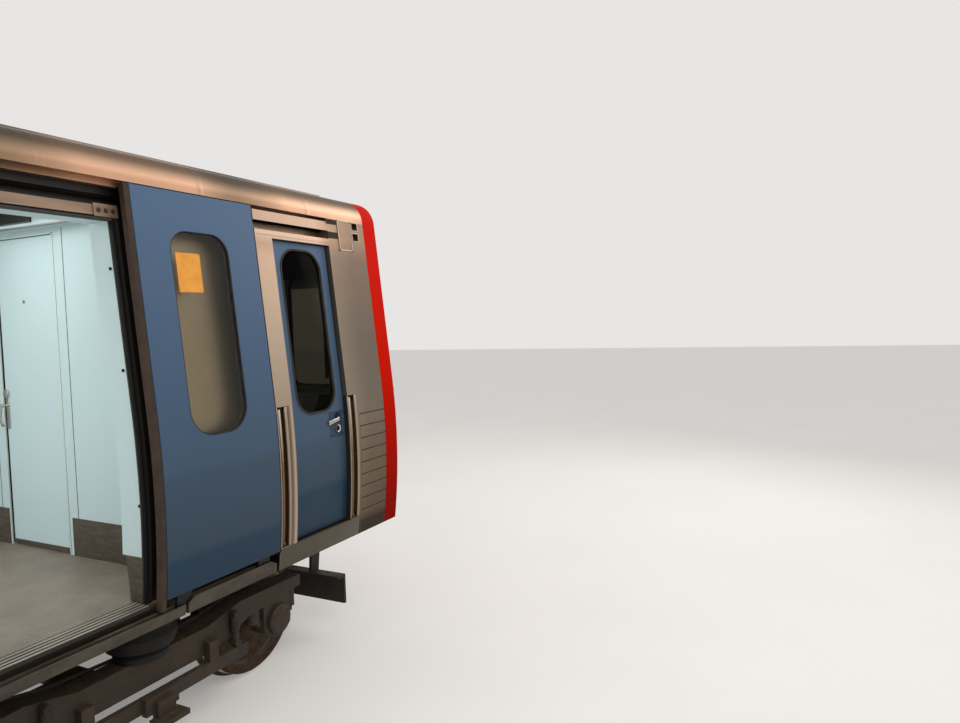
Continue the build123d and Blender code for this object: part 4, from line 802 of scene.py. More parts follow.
# which finish each CAD node takes, by the start of its name
nodeFinishes = (
    ("side_wall", "side"),
    ("rear_end", "side"),
    ("cab_side", "cab"),
    ("cab_door", "cabDoor"),
    ("cab_handrails", "rod"),
    ("cab_bulkhead", "lining"),
    ("bulkhead_door", "lining"),
    ("rear_door", "lining"),
    ("doorway_linings", "lining"),
    ("cab_desk", "desk"),
    ("leaf_", "leaf"),
    ("front_surround", "red"),
    ("front_panel", "plain"),
    ("windscreen", "cabGlass"),
    ("side_glass", "sideGlass"),
    ("front_lamps", "lens"),
    ("ceiling_lamps", "lamp"),
    ("ceiling", "ceiling"),
    ("floor", "floor"),
    ("roof_vents", "vent"),
    ("roof", "roof"),
    ("door_gear", "gear"),
    ("door_sills", "threshold"),
    ("driver_seat", "seatFrame"),
    ("saloon_seats", "seatShell"),
    ("grab_poles", "tube"),
    ("underframe", "underframe"),
    ("jacking_pads", "underframe"),
    ("front_deflector", "underframe"),
    ("air_tanks", "underframe"),
    ("equipment_cases", "case"),
    ("collector_shoes", "bogie"),
    ("bogie_frame", "bogie"),
    ("traction_motors", "bogie"),
    ("air_springs", "spring"),
    ("wheelset", "wheel"),
    ("front_coupler", "bogie"),
    ("rear_coupler", "bogie"),
)


def dressNodes():
    for name, node in nodes.items():
        finish = next(key for start, key in nodeFinishes if name.startswith(start))
        node.data.materials.clear()
        node.data.materials.append(finishes[finish])


dressNodes()
addStudio()
print("studio and node finishes set")

# Modelling helpers


# heights from rises over the leaves' lower edge
def heights(rises):
    return [leafLow + rise for rise in rises]


# test for the faces that look along an axis, such as "z" or "-y"
def facing(direction):
    letter, way = direction[-1], -1 if direction[0] == "-" else 1
    return lambda centre, normal: way * getattr(normal, letter) > 0.9


def pick(piece):
    deselectAll()
    piece.select_set(True)
    bpy.context.view_layer.objects.active = piece


def settle(piece, name=None):
    pick(piece)
    bpy.ops.object.transform_apply(location=True, rotation=True, scale=True)
    if name:
        piece.name = name
    return piece


def applyModifier(piece, kind, **settings):
    pick(piece)
    modifier = piece.modifiers.new(kind.title(), kind)
    for key, value in settings.items():
        setattr(modifier, key, value)
    bpy.ops.object.modifier_apply(modifier=modifier.name)
    return piece


def softEdges(piece, width, segments=2, angle=30):
    return applyModifier(piece, "BEVEL", width=width, segments=segments, limit_method="ANGLE",
                         angle_limit=radians(angle))


def addBlock(name, x, y, z, bevel=0.0, segments=2):
    deselectAll()
    bpy.ops.mesh.primitive_cube_add(size=1, location=[(a + b) / 2 for a, b in (x, y, z)])
    piece = bpy.context.object
    piece.scale = [abs(b - a) for a, b in (x, y, z)]
    settle(piece, name)
    if bevel:
        applyModifier(piece, "BEVEL", width=bevel, segments=segments)
    return piece


def addTube(name, start, end, radius, sides=16, bevel=0.0):
    deselectAll()
    start, end = Vector(start), Vector(end)
    turn = (end - start).to_track_quat("Z", "Y").to_euler()
    bpy.ops.mesh.primitive_cylinder_add(vertices=sides, radius=radius, depth=(end - start).length,
                                        location=(start + end) / 2, rotation=turn)
    piece = settle(bpy.context.object, name)
    if bevel:
        softEdges(piece, bevel)
    return piece


# tube along a smooth route through the points
def addRoute(name, points, radius):
    deselectAll()
    bpy.ops.curve.primitive_bezier_curve_add(location=(0, 0, 0))
    route = bpy.context.object
    knots = route.data.splines[0].bezier_points
    knots.add(len(points) - 2)
    for knot, place in zip(knots, points):
        knot.handle_left_type = knot.handle_right_type = "AUTO"
        knot.co = place
    route.data.bevel_depth = radius
    route.data.bevel_resolution = 2
    route.data.resolution_u = 6
    route.data.use_fill_caps = True
    bpy.ops.object.convert(target="MESH")
    return faceOut(settle(bpy.context.object, name))


# edit mode with the vertices or faces that pass the test selected
def selectParts(piece, test, kind="VERT"):
    pick(piece)
    bpy.ops.object.mode_set(mode="EDIT")
    bpy.ops.mesh.select_mode(type=kind)
    bpy.ops.mesh.select_all(action="DESELECT")
    bpy.ops.object.mode_set(mode="OBJECT")
    if kind == "VERT":
        for vertex in piece.data.vertices:
            vertex.select = test(vertex.co)
    else:
        for face in piece.data.polygons:
            face.select = test(face.center, face.normal)
    bpy.ops.object.mode_set(mode="EDIT")


# recess or raise an inner field on the faces that pass the test
def insetFaces(piece, test, rim, shift):
    selectParts(piece, test, "FACE")
    bpy.ops.mesh.inset(thickness=rim)
    bpy.ops.transform.translate(value=shift)
    bpy.ops.object.mode_set(mode="OBJECT")
    return piece


# flat upright sheet with rounded corners, facing out of the side
def addRoundedSheet(name, x, inset, z, topRadius, lowRadius, segments=9):
    deselectAll()
    middle = (z[0] + z[1]) / 2
    bpy.ops.mesh.primitive_plane_add(size=1, location=((x[0] + x[1]) / 2, inset, middle),
                                     rotation=(pi / 2, 0, 0))
    piece = bpy.context.object
    piece.scale = (x[1] - x[0], z[1] - z[0], 1)
    settle(piece, name)
    for radius, top in ((topRadius, True), (lowRadius, False)):
        selectParts(piece, lambda co: (co.z > middle) == top)
        bpy.ops.mesh.bevel(offset=radius, offset_type="OFFSET", segments=segments, affect="VERTICES")
        middle = z[0] + lowRadius + 0.001
    bpy.ops.object.mode_set(mode="OBJECT")
    return piece


# leaves only the rim of a flat sheet
def hollowOut(piece, width):
    pick(piece)
    bpy.ops.object.mode_set(mode="EDIT")
    bpy.ops.mesh.select_mode(type="FACE")
    bpy.ops.mesh.select_all(action="SELECT")
    bpy.ops.mesh.inset(thickness=width)
    bpy.ops.mesh.delete(type="FACE")
    bpy.ops.object.mode_set(mode="OBJECT")
    return piece


# rim of a rounded opening: it reaches over the edge all round, and by lip into the opening
def addRoundedRim(x, inset, z, radius, over, lip, segments):
    corner = radius + over
    sheet = addRoundedSheet("rim", (x[0] - over, x[1] + over), inset, (z[0] - over, z[1] + over),
                            corner, corner, segments)
    return hollowOut(sheet, over + lip)


# level cuts, so that a flat piece can follow the curved side
def cutRows(piece, step=0.1):
    low = min(v.co.z for v in piece.data.vertices)
    high = max(v.co.z for v in piece.data.vertices)
    count = int((high - low) / step)
    pick(piece)
    bpy.ops.object.mode_set(mode="EDIT")
    for n in range(1, count + 1):
        bpy.ops.mesh.select_all(action="SELECT")
        level = low + n * (high - low) / (count + 1)
        bpy.ops.mesh.bisect(plane_co=(0, 0, level), plane_no=(0, 0, 1))
    bpy.ops.object.mode_set(mode="OBJECT")
    return piece


# gives a sheet its depth, from its face inwards
def thicken(piece, depth, bevel=0.0):
    applyModifier(piece, "SOLIDIFY", thickness=depth, offset=-1.0, use_even_offset=True)
    return softEdges(piece, bevel) if bevel else piece


def faceOut(piece):
    pick(piece)
    bpy.ops.object.mode_set(mode="EDIT")
    bpy.ops.mesh.select_all(action="SELECT")
    bpy.ops.mesh.normals_make_consistent(inside=False)
    bpy.ops.object.mode_set(mode="OBJECT")
    return piece


def copyOf(piece, name, shift=(0, 0, 0)):
    twin = piece.copy()
    twin.data = piece.data.copy()
    twin.name = name
    bpy.context.collection.objects.link(twin)
    if any(shift):
        twin.data.transform(Matrix.Translation(shift))
    return twin


# the same piece on the other side of the car's middle
def mirroredCopy(piece, name):
    twin = copyOf(piece, name)
    twin.data.transform(Matrix.Scale(-1, 4, (0, 1, 0)))
    return faceOut(twin)


# takes a flat piece to its place on the left (1) or right (-1) side
def layOnSide(piece, side, x=0.0, way=1):
    for vertex in piece.data.vertices:
        along, inset, z = vertex.co
        vertex.co = (x + way * along, side * sideY(inset, z), z)
    return faceOut(piece)


def joined(name, pieces):
    deselectAll()
    for piece in pieces:
        piece.select_set(True)
    bpy.context.view_layer.objects.active = pieces[0]
    if len(pieces) > 1:
        bpy.ops.object.join()
    pieces[0].name = name
    return pieces[0]


def discard(*pieces):
    for piece in pieces:
        bpy.data.objects.remove(piece)


def finished(piece, finish, body="car_body", smooth=30):
    piece.data.materials.clear()
    piece.data.materials.append(finishes[finish])
    pick(piece)
    bpy.ops.object.shade_smooth_by_angle(angle=radians(smooth))
    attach(piece, body)
    return piece


# flat pieces laid on one side of the car, joined and finished under one name
def fitOnSide(name, pieces, side, finish, body="car_body"):
    return finished(joined(name, [layOnSide(piece, side) for piece in pieces]), finish, body)


sides = {"left": 1, "right": -1}

# Outside leaves: window rubber, pane and the soft nose. Modelled with the nose at x = 0.

leafTrim = {
    "closedGap": 0.003,
    "travel": 0.9,
    "window": (0.247, 0.677),
    "windowRise": (0.847, 2.026),
    "radii": (0.125, 0.16),
    "rubberInset": 0.0015,
    "rubberWidth": 0.007,
    "rubberDeep": 0.034,
    "paneInset": 0.010,
    "paneThick": 0.005,
    "paneGap": 0.003,
    "noseX": (-0.0015, 0.035),
    "noseInset": (0.0022, 0.0428),
    "noseZ": (0.989, carBody["leafHigh"]),
}


def modelLeafTrim():
    trim = leafTrim
    x, z = trim["window"], heights(trim["windowRise"])
    ring = addRoundedSheet("windowRubber", x, trim["rubberInset"], z, *trim["radii"])
    thicken(cutRows(hollowOut(ring, trim["rubberWidth"])), trim["rubberDeep"], 0.002)
    gap = trim["paneGap"]
    pane = addRoundedSheet("pane", (x[0] + gap, x[1] - gap), trim["paneInset"], (z[0] + gap, z[1] - gap),
                           *[radius - gap for radius in trim["radii"]])
    thicken(cutRows(pane), trim["paneThick"])
    nose = addBlock("nose", trim["noseX"], trim["noseInset"], trim["noseZ"])
    insetFaces(nose, facing("-x"), 0.012, (0.0012, 0, 0))
    softEdges(cutRows(nose), 0.004, 3)
    return ring, pane, nose


# name, side, direction and nose place of the twelve leaves at rest
def leafPlaces():
    for side in sides:
        for n, x in enumerate(carBody["doorways"], 1):
            for end, way in (("front", 1), ("rear", -1)):
                shift = leafTrim["closedGap"] + (leafTrim["travel"] if side == "right" else 0)
                yield f"{side}_{n}_{end}", sides[side], way, x + way * shift


def addLeafTrim():
    ring, pane, nose = modelLeafTrim()
    parts = (
        (ring, "windowRubber", "windowRubber", "spring_rubber"),
        (pane, "pane", "leafGlass", "window_glass"),
        (nose, "nose", "nose", "spring_rubber"),
    )
    for name, side, way, x in leafPlaces():
        for part, label, finish, slot in parts:
            twin = layOnSide(copyOf(part, f"{label}_{name}"), side, x, way)
            finished(twin, finish, f"leaf_{name}")
    discard(ring, pane, nose)


addLeafTrim()

# Plain orange sticker on the outer face of one pane

stickerTrim = {
    "x": (5.705, 5.875),
    "rise": (1.675, 1.900),
    "corner": 0.004,
    "thick": 0.0008,
    "beforePane": 0.001,
}


def addSticker():
    trim = stickerTrim
    inset, corner = leafTrim["paneInset"] - trim["beforePane"], trim["corner"]
    sheet = addRoundedSheet("sticker", trim["x"], inset, heights(trim["rise"]), corner, corner, 3)
    thicken(cutRows(sheet, 0.05), trim["thick"])
    finished(layOnSide(sheet, -1), "sticker", "leaf_right_1_front")


addSticker()
print("leaves trimmed")

# Doorways, each piece modelled for the jamb at x = 0 with the doorway towards -x

doorwayTrim = {
    "jambZ": (floorTop + 0.002, carBody["doorwayTop"] - 0.001),
    "sealX": (-0.004, 0.030),
    "sealInset": (0.078, 0.118),
    "greyLip": 0.011,
    "greyLipX": (-0.005, 0.010),
    "pocketX": (0.030, 0.112),
    "pocketInset": (0.088, 0.1048),
    # rise and inset of the screws
    "screws": ((0.526, 0.122), (1.254, 0.142), (1.797, 0.142)),
    "screwRadius": 0.0085,
    "kickZ": (floorTop + 0.001, 1.292),
    "kickInset": (0.092, 0.205, 0.247),
    "headSealHalf": 0.870,
    "headSealZ": (carBody["doorwayTop"] - 0.016, carBody["doorwayTop"] - 0.001),
    # how far the bracket screws lie from the doorway's middle
    "headerScrews": (0.800, 0.8415, 0.883),
    "headerScrewZ": carBody["doorwayTop"] + 0.035,
    "headerScrewInset": (0.0785, 0.0735),
    "headerScrewRadius": 0.0125,
}


# side, middle of the doorway and direction of each jamb
def jambPlaces():
    for side in sides.values():
        for x in carBody["doorways"]:
            for way in (-1, 1):
                yield side, x, way


# black rubber block against the wall, and the grey lip on its inner edge
def modelSeal():
    trim = doorwayTrim
    outer, inner = trim["sealInset"]
    seal = addBlock("seal", trim["sealX"], (outer, inner - trim["greyLip"]), trim["jambZ"])
    insetFaces(seal, facing("-y"), 0.007, (0, 0.004, 0))
    return softEdges(cutRows(seal), 0.003)


def modelGreyLip():
    trim = doorwayTrim
    inner = trim["sealInset"][1]
    lip = addBlock("lip", trim["greyLipX"], (inner - trim["greyLip"], inner), trim["jambZ"])
    return softEdges(cutRows(lip), 0.003)


# dark strip on the wall, where the leaf slides past, made in rubber: its black is painted shade of the
# gap behind the jamb
def modelPocketShade():
    trim = doorwayTrim
    strip = addBlock("pocketShade", trim["pocketX"], trim["pocketInset"], trim["jambZ"])
    insetFaces(strip, facing("-y"), 0.016, (0, 0.010, 0))
    return softEdges(cutRows(strip), 0.002)


def modelJambScrews():
    trim = doorwayTrim
    screws = []
    for rise, inset in trim["screws"]:
        z = leafLow + rise
        screw = addTube("screw", (0.001, inset, z), (-0.0068, inset, z), trim["screwRadius"], 16, 0.001)
        screws.append(insetFaces(screw, facing("-x"), 0.0025, (0.002, 0, 0)))
    return joined("jambScrews", screws)


# sheet at the jamb's foot, wider above the threshold
def modelKickPlate():
    outer, lowInner, highInner = doorwayTrim["kickInset"]
    plate = addBlock("kick", (-0.0025, 0.001), (outer, lowInner), doorwayTrim["kickZ"])
    selectParts(plate, lambda co: co.y > outer + 0.01 and co.z > floorTop + 0.1)
    bpy.ops.transform.translate(value=(0, highInner - lowInner, 0))
    bpy.ops.object.mode_set(mode="OBJECT")
    return softEdges(cutRows(plate), 0.001)


def everyJamb(template, name, finish):
    half = carBody["doorwayHalf"]
    copies = [layOnSide(copyOf(template, name), side, x + way * half, way)
              for side, x, way in jambPlaces()]
    discard(template)
    return finished(joined(name, copies), finish)


def addHeadSeals():
    trim = doorwayTrim
    half = trim["headSealHalf"]
    seals = []
    for side in sides.values():
        for x in carBody["doorways"]:
            seal = addBlock("headSeal", (x - half, x + half), trim["sealInset"], trim["headSealZ"])
            insetFaces(seal, facing("-z"), 0.006, (0, 0, 0.003))
            seals.append(layOnSide(softEdges(seal, 0.003), side))
    finished(joined("headSeals", seals), "seal")


# slotted screws on the brackets at the ends of the header bars
def addHeaderScrews():
    trim = doorwayTrim
    z = trim["headerScrewZ"]
    foot, head = trim["headerScrewInset"]
    screw = addTube("screw", (0, foot, z), (0, head, z), trim["headerScrewRadius"], 20, 0.0015)
    insetFaces(screw, facing("-y"), 0.0045, (0, 0.003, 0))
    slot = addBlock("slot", (-0.0095, 0.0095), (0.0732, 0.0762), (z - 0.0014, z + 0.0014), 0.0006)
    screw = joined("headerScrew", [screw, slot])
    screws = [layOnSide(copyOf(screw, "headerScrews"), side, x + way * offset, way)
              for side, x, way in jambPlaces() for offset in trim["headerScrews"]]
    discard(screw)
    finished(joined("headerScrews", screws), "screw")


everyJamb(modelSeal(), "jambSeals", "jambRubber")
everyJamb(modelGreyLip(), "jambLips", "seal")
everyJamb(modelPocketShade(), "pocketShades", "rubber")
everyJamb(modelJambScrews(), "jambScrews", "rubber")
everyJamb(modelKickPlate(), "jambKickPlates", "kick")
addHeadSeals()
addHeaderScrews()
print("doorways trimmed")

# Cab doors: window rubber, pane, lever, lock ring and edge seals

cabDoorTrim = {
    "x": (6.501, 7.079),
    "inset": 0.040,
    # painted surround that closes the opening in to the rubber
    "surroundHalf": (0.229, 0.207),
    "surroundRise": ((0.840, 2.000), (0.852, 1.996)),
    "rubberHalf": 0.212,
    "rubberRise": (0.846, 2.001),
    "windowRadius": 0.152,
    "rubberWidth": 0.014,
    # how far the pane reaches in under the rubber
    "paneLap": 0.004,
    "edgeX": (7.078, 7.0825),
    "edgeInset": (0.042, 0.085),
    "edgeRise": (0.022, 2.040),
    "plateX": (6.872, 7.052),
    "plateInset": (0.0465, 0.0492),
    "plateRise": (0.660, 0.832),
    # depth where the lever's boss, the lock ring and the discs start
    "boltInset": 0.049,
    "leverX": (6.886, 7.004),
    "leverInset": (0.022, 0.034),
    "leverRise": 0.780,
    "disc": (7.008, 0.797),
    "ring": (7.002, 0.711),
}


# flat rim between an outer sheet and a smaller one with as many corners
def rimBetween(outer, inner):
    rim = joined("rim", [outer, inner])
    pick(rim)
    bpy.ops.object.mode_set(mode="EDIT")
    bpy.ops.mesh.select_mode(type="FACE")
    bpy.ops.mesh.select_all(action="SELECT")
    bpy.ops.mesh.delete(type="ONLY_FACE")
    bpy.ops.mesh.select_mode(type="EDGE")
    bpy.ops.mesh.select_all(action="SELECT")
    bpy.ops.mesh.bridge_edge_loops()
    bpy.ops.object.mode_set(mode="OBJECT")
    if rim.data.polygons[0].normal.y > 0:
        bpy.ops.object.mode_set(mode="EDIT")
        bpy.ops.mesh.select_all(action="SELECT")
        bpy.ops.mesh.flip_normals()
        bpy.ops.object.mode_set(mode="OBJECT")
    return rim


def addCabDoors():
    trim = cabDoorTrim
    for name, side in sides.items():
        body = f"cab_door_{name}"
        addCabWindow(name, side, body)
        addCabLever(name, side, body)
        edge = addBlock("edge", trim["edgeX"], trim["edgeInset"], heights(trim["edgeRise"]))
        softEdges(cutRows(edge), 0.001)
        fitOnSide(f"cabDoorEdge_{name}", [edge], side, "rubber", body)


def addCabWindow(name, side, body):
    trim = cabDoorTrim
    middle, inset = sum(trim["x"]) / 2, trim["inset"]
    half, radius, width = trim["rubberHalf"], trim["windowRadius"], trim["rubberWidth"]
    low, high = heights(trim["rubberRise"])
    rounds = [addRoundedSheet("sheet", (middle - wide, middle + wide), inset - 0.0018, heights(rises),
                              corner, corner, 14)
              for wide, rises, corner in zip(trim["surroundHalf"], trim["surroundRise"],
                                             (radius + 0.010, radius))]
    surround = thicken(cutRows(rimBetween(*rounds)), 0.032)
    fitOnSide(f"cabWindowSurround_{name}", [surround], side, "cabDoor", body)
    ring = addRoundedSheet("ring", (middle - half, middle + half), inset - 0.007, (low, high),
                           radius, radius, 14)
    thicken(cutRows(hollowOut(ring, width)), 0.030, 0.004)
    fitOnSide(f"cabWindowRubber_{name}", [ring], side, "cabSeal", body)
    edge = width - trim["paneLap"]
    pane = addRoundedSheet("pane", (middle - half + edge, middle + half - edge), inset + 0.008,
                           (low + edge, high - edge), radius - width, radius - width, 14)
    thicken(cutRows(pane), 0.006)
    fitOnSide(f"cabPane_{name}", [pane], side, "cabGlass", body)


# lever and lock on their plate
def addCabLever(name, side, body):
    trim = cabDoorTrim
    plate = addBlock("plate", trim["plateX"], trim["plateInset"], heights(trim["plateRise"]))
    insetFaces(plate, facing("-y"), 0.006, (0, 0.0008, 0))
    softEdges(cutRows(plate, 0.05), 0.001)
    fitOnSide(f"handlePlate_{name}", [plate], side, "plate", body)
    deep = trim["boltInset"]
    (start, end), (discX, discRise), (ringX, ringRise) = trim["leverX"], trim["disc"], trim["ring"]
    leverZ, discZ, ringZ = heights((trim["leverRise"], discRise, ringRise))
    boss = addTube("boss", (end - 0.006, deep, leverZ), (end - 0.006, 0.026, leverZ), 0.016, 28, 0.003)
    lever = addBlock("lever", (start, end), trim["leverInset"], (leverZ - 0.011, leverZ + 0.013))
    selectParts(lever, lambda co: co.x < start + 0.01)
    bpy.ops.transform.translate(value=(0, 0, -0.018))
    bpy.ops.transform.resize(value=(1, 1, 1.4))
    bpy.ops.object.mode_set(mode="OBJECT")
    softEdges(lever, 0.005, 3)
    ring = addTube("ring", (ringX, deep, ringZ), (ringX, 0.037, ringZ), 0.029, 32)
    insetFaces(ring, facing("-y"), 0.009, (0, 0.006, 0))
    softEdges(ring, 0.0025, 3)
    fitOnSide(f"cabLever_{name}", [boss, lever, ring], side, "chrome", body)
    disc = addTube("disc", (discX, deep, discZ), (discX, 0.040, discZ), 0.026, 32, 0.003)
    core = addTube("core", (ringX, deep, ringZ), (ringX, 0.0415, ringZ), 0.0195, 24, 0.001)
    fitOnSide(f"cabLockDiscs_{name}", [disc, core], side, "rubber", body)


addCabDoors()
print("cab doors fitted")

# Cab sides: sill bar, cover plate rim, rims of the small openings, and the recesses' lips and feet

cabTrim = {
    # the sill is lower where the open leaf hangs over it
    "sillX": (6.325, 6.341, 7.191),
    "sillRise": (-0.128, -0.006, 0.009),
    "sillInset": (-0.0025, 0.002),
    "ledgeX": (6.493, 7.087),
    "ledgeInset": (0.004, 0.046),
    "ledgeRise": (0.0095, 0.0135),
    "coverX": (7.215, 7.366),
    "coverRise": (2.032, 2.248),
    "ventX": (7.398, 7.459),
    "ventRises": ((2.117, 2.163), (2.205, 2.249)),
    # dark mouths around the vents, and the dark ends of the long slots
    "mouthX": (7.386, 7.460),
    "mouthRises": ((2.109, 2.170), (2.192, 2.2505)),
    "slotEnds": (((7.082, 7.206), (2.213, 2.2505)), ((7.090, 7.206), (2.108, 2.156))),
    "recesses": ((6.340, 6.435), (7.084, 7.188)),
    "recessZ": (1.068, 1.988),
}


# raised rim around an opening, over being how far it reaches outside
def openingRim(x, z, proud, over):
    rim = addRoundedSheet("rim", (x[0] - over, x[1] + over), -proud, (z[0] - over, z[1] + over),
                          0.004, 0.004, 3)
    return thicken(cutRows(hollowOut(rim, over + 0.002), 0.03), proud + 0.0015, 0.001)


def addCabSill(name, side):
    trim = cabTrim
    start, notch, end = trim["sillX"]
    low, notchHigh, high = heights(trim["sillRise"])
    sill = [addBlock("sill", (notch, end), trim["sillInset"], (low, high)),
            addBlock("sill", (start, notch + 0.001), trim["sillInset"], (low, notchHigh))]
    sill = joined("sill", [softEdges(cutRows(part, 0.04), 0.0015) for part in sill])
    ledge = addBlock("ledge", trim["ledgeX"], trim["ledgeInset"], heights(trim["ledgeRise"]), 0.001)
    fitOnSide(f"cabSill_{name}", [sill, ledge], side, "sill")


# rims of the cover plate and the vents, and the dark mouths and slot ends
def addCabOpenings(name, side):
    trim = cabTrim
    rims = [openingRim(trim["coverX"], heights(trim["coverRise"]), 0.0045, 0.006)]
    dark = []
    for rises, mouth in zip(trim["ventRises"], trim["mouthRises"]):
        sheets = [addRoundedSheet("sheet", trim["mouthX"], -0.0012, heights(mouth), 0.004, 0.004, 3),
                  addRoundedSheet("sheet", trim["ventX"], -0.0012, heights(rises), 0.002, 0.002, 3)]
        dark.append(thicken(rimBetween(*sheets), 0.0025))
        rims.append(openingRim(trim["mouthX"], heights(mouth), 0.003, 0.005))
    for x, rises in trim["slotEnds"]:
        end = addRoundedSheet("end", x, -0.0010, heights(rises), 0.003, 0.003, 3)
        dark.append(thicken(cutRows(end, 0.03), 0.0025))
    fitOnSide(f"cabRims_{name}", rims, side, "plain")
    fitOnSide(f"ventMouths_{name}", dark, side, "slotRust")


# lips of the grab rail recesses, and the rails' feet, clamps and upper notches
def addRecessTrim(name, side):
    lips, feet, notches = [], [], []
    low, high = cabTrim["recessZ"]
    for start, end in cabTrim["recesses"]:
        middle = (start + end) / 2
        lip = addBlock("lip", (end - 0.022, end + 0.003), (-0.004, 0.018), (low - 0.006, high))
        lips.append(softEdges(cutRows(lip), 0.010, 4))
        lip = addBlock("lip", (start - 0.003, start + 0.007), (-0.003, 0.010), (low, high))
        lips.append(softEdges(cutRows(lip), 0.004, 3))
        feet.append(addBlock("foot", (middle - 0.026, middle + 0.026), (0.012, 0.052),
                             (low, low + 0.012), 0.004))
        feet.append(addTube("clamp", (middle, 0.030, low + 0.010), (middle, 0.030, low + 0.030),
                            0.019, 24, 0.004))
        notches.append(addBlock("notch", (middle - 0.022, middle + 0.022), (0.010, 0.054),
                                (high - 0.016, high - 0.001), 0.005))
    fitOnSide(f"recessLips_{name}", lips, side, "plain")
    fitOnSide(f"rodFeet_{name}", feet, side, "rod")
    fitOnSide(f"rodNotches_{name}", notches, side, "rubber")


def addCabSideTrim():
    for name, side in sides.items():
        addCabSill(name, side)
        addCabOpenings(name, side)
        addRecessTrim(name, side)


addCabSideTrim()
print("cab sides trimmed")

# Bulkhead: door posts, joints, kick plates, display over the door and the door's handle

bulkheadTrim = {
    "doorway": (-0.045, 0.590),
    "doorwayHigh": 3.158,
    "postTop": 3.170,
    "joints": (-0.150, 0.690, -0.690),
    "jointTop": 3.190,
    "kickHigh": 1.289,
    "wallY": 1.135,
    # how far the door's face lies behind the wall's
    "doorBehind": 0.005,
    "doorLow": 1.048,
    "doorKickHigh": 1.078,
    "handle": (0.555, 1.855),
    "lock": (0.297, 2.728),
    "displayX": 5.680,
    "display": (-0.020, 0.620),
    "displayZ": (3.222, 3.335),
    "headerStripY": (-1.05, 1.05),
    "headerStripZ": (3.1925, 3.205),
}


def addBulkheadTrim():
    trim = bulkheadTrim
    face = carBody["bulkhead"]
    skin, sheet, line = ((face - proud, face + 0.001) for proud in (0.005, 0.004, 0.0015))
    (near, far), high, top = trim["doorway"], trim["doorwayHigh"], trim["postTop"]
    posts = [addBlock("post", skin, y, z, 0.002)
             for y, z in (((near - 0.012, near - 0.001), (floorTop, top)),
                          ((far + 0.001, far + 0.014), (floorTop, top)),
                          ((near - 0.012, far + 0.014), (high + 0.001, top)))]
    finished(joined("bulkheadPosts", posts), "postEdge")
    joints = [addBlock("joint", line, (y - 0.0025, y + 0.0025), (floorTop, trim["jointTop"]), 0.0007)
              for y in trim["joints"]]
    finished(joined("bulkheadJoints", joints), "seal")
    kicks = [addBlock("kick", sheet, y, (floorTop, trim["kickHigh"]), 0.001)
             for y in ((-trim["wallY"], near - 0.043), (far + 0.016, trim["wallY"]))]
    finished(joined("bulkheadKicks", kicks), "kick")
    addHeaderDisplay()
    addBulkheadDoorTrim()


def addBulkheadDoorTrim():
    trim = bulkheadTrim
    door, body = carBody["bulkhead"] + trim["doorBehind"], "bulkhead_door"
    near, far = trim["doorway"]
    strip = addBlock("bulkheadDoorKick", (door - 0.004, door + 0.001), (near + 0.010, far - 0.010),
                     (trim["doorLow"], trim["doorKickHigh"]), 0.001)
    finished(strip, "kick", body)
    edges = [addBlock("edge", (door - 0.0025, door + 0.001), (y - half, y + half),
                      (trim["doorLow"], trim["doorwayHigh"] - 0.004), 0.0007)
             for y, half in ((near + 0.007, 0.003), (far - 0.009, 0.008))]
    finished(joined("bulkheadDoorEdges", edges), "rubber", body)
    addInnerDoorHandle("bulkheadHandle", door, -1, *trim["handle"], body)
    y, z = trim["lock"]
    lock = addTube("bulkheadLock", (door + 0.001, y, z), (door - 0.004, y, z), 0.012, 24, 0.0015)
    insetFaces(lock, facing("-x"), 0.004, (0.002, 0, 0))
    finished(lock, "chrome", body)


# dark display over the bulkhead door, and the bright edge strip under it
def addHeaderDisplay():
    trim = bulkheadTrim
    x = trim["displayX"]
    screen = addBlock("headerDisplay", (x - 0.012, x + 0.002), trim["display"], trim["displayZ"])
    insetFaces(screen, facing("-x"), 0.012, (0.004, 0, 0))
    finished(softEdges(screen, 0.002), "display")
    strip = addBlock("headerStrip", (x - 0.006, x + 0.020), trim["headerStripY"],
                     trim["headerStripZ"], 0.003)
    finished(strip, "frame")


# plate with a round rosette above and a curved lever, on the door face at x
handleTrim = {
    "plateHalf": 0.018,
    "plateHigh": 0.215,
    "plateThick": 0.004,
    "rosetteRise": 0.245,
    "neckRise": 0.165,
    # distance from the door and rise over the plate's foot, along the lever
    "lever": ((0.042, 0.178), (0.050, 0.140), (0.054, 0.085), (0.046, 0.040), (0.036, 0.022)),
}


def addInnerDoorHandle(name, x, way, y, low, body):
    trim = handleTrim
    half, rosetteZ, neckZ = trim["plateHalf"], low + trim["rosetteRise"], low + trim["neckRise"]
    plate = addBlock("plate", sorted((x, x + way * trim["plateThick"])), (y - half, y + half),
                     (low, low + trim["plateHigh"]), 0.0015)
    rosette = addTube("rosette", (x, y, rosetteZ), (x + way * 0.016, y, rosetteZ), 0.029, 32, 0.005)
    neck = addTube("neck", (x, y, neckZ), (x + way * 0.045, y, neckZ), 0.010, 20, 0.002)
    route = [(x + way * depth, y + 0.004, low + rise) for depth, rise in trim["lever"]]
    lever = addRoute("lever", route, 0.009)
    finished(joined(name, [plate, rosette, neck, lever]), "chrome", body)


addBulkheadTrim()
print("bulkhead trimmed")

# Saloon windows: outer rubber and moulded inner frame

saloonTrim = {
    "halfWidth": 0.750,
    "rise": (0.850, 1.900),
    "radius": 0.130,
    "rubberInset": 0.100,
    "rubberOver": 0.014,
    "frameInset": 0.164,
    "frameOver": 0.048,
}


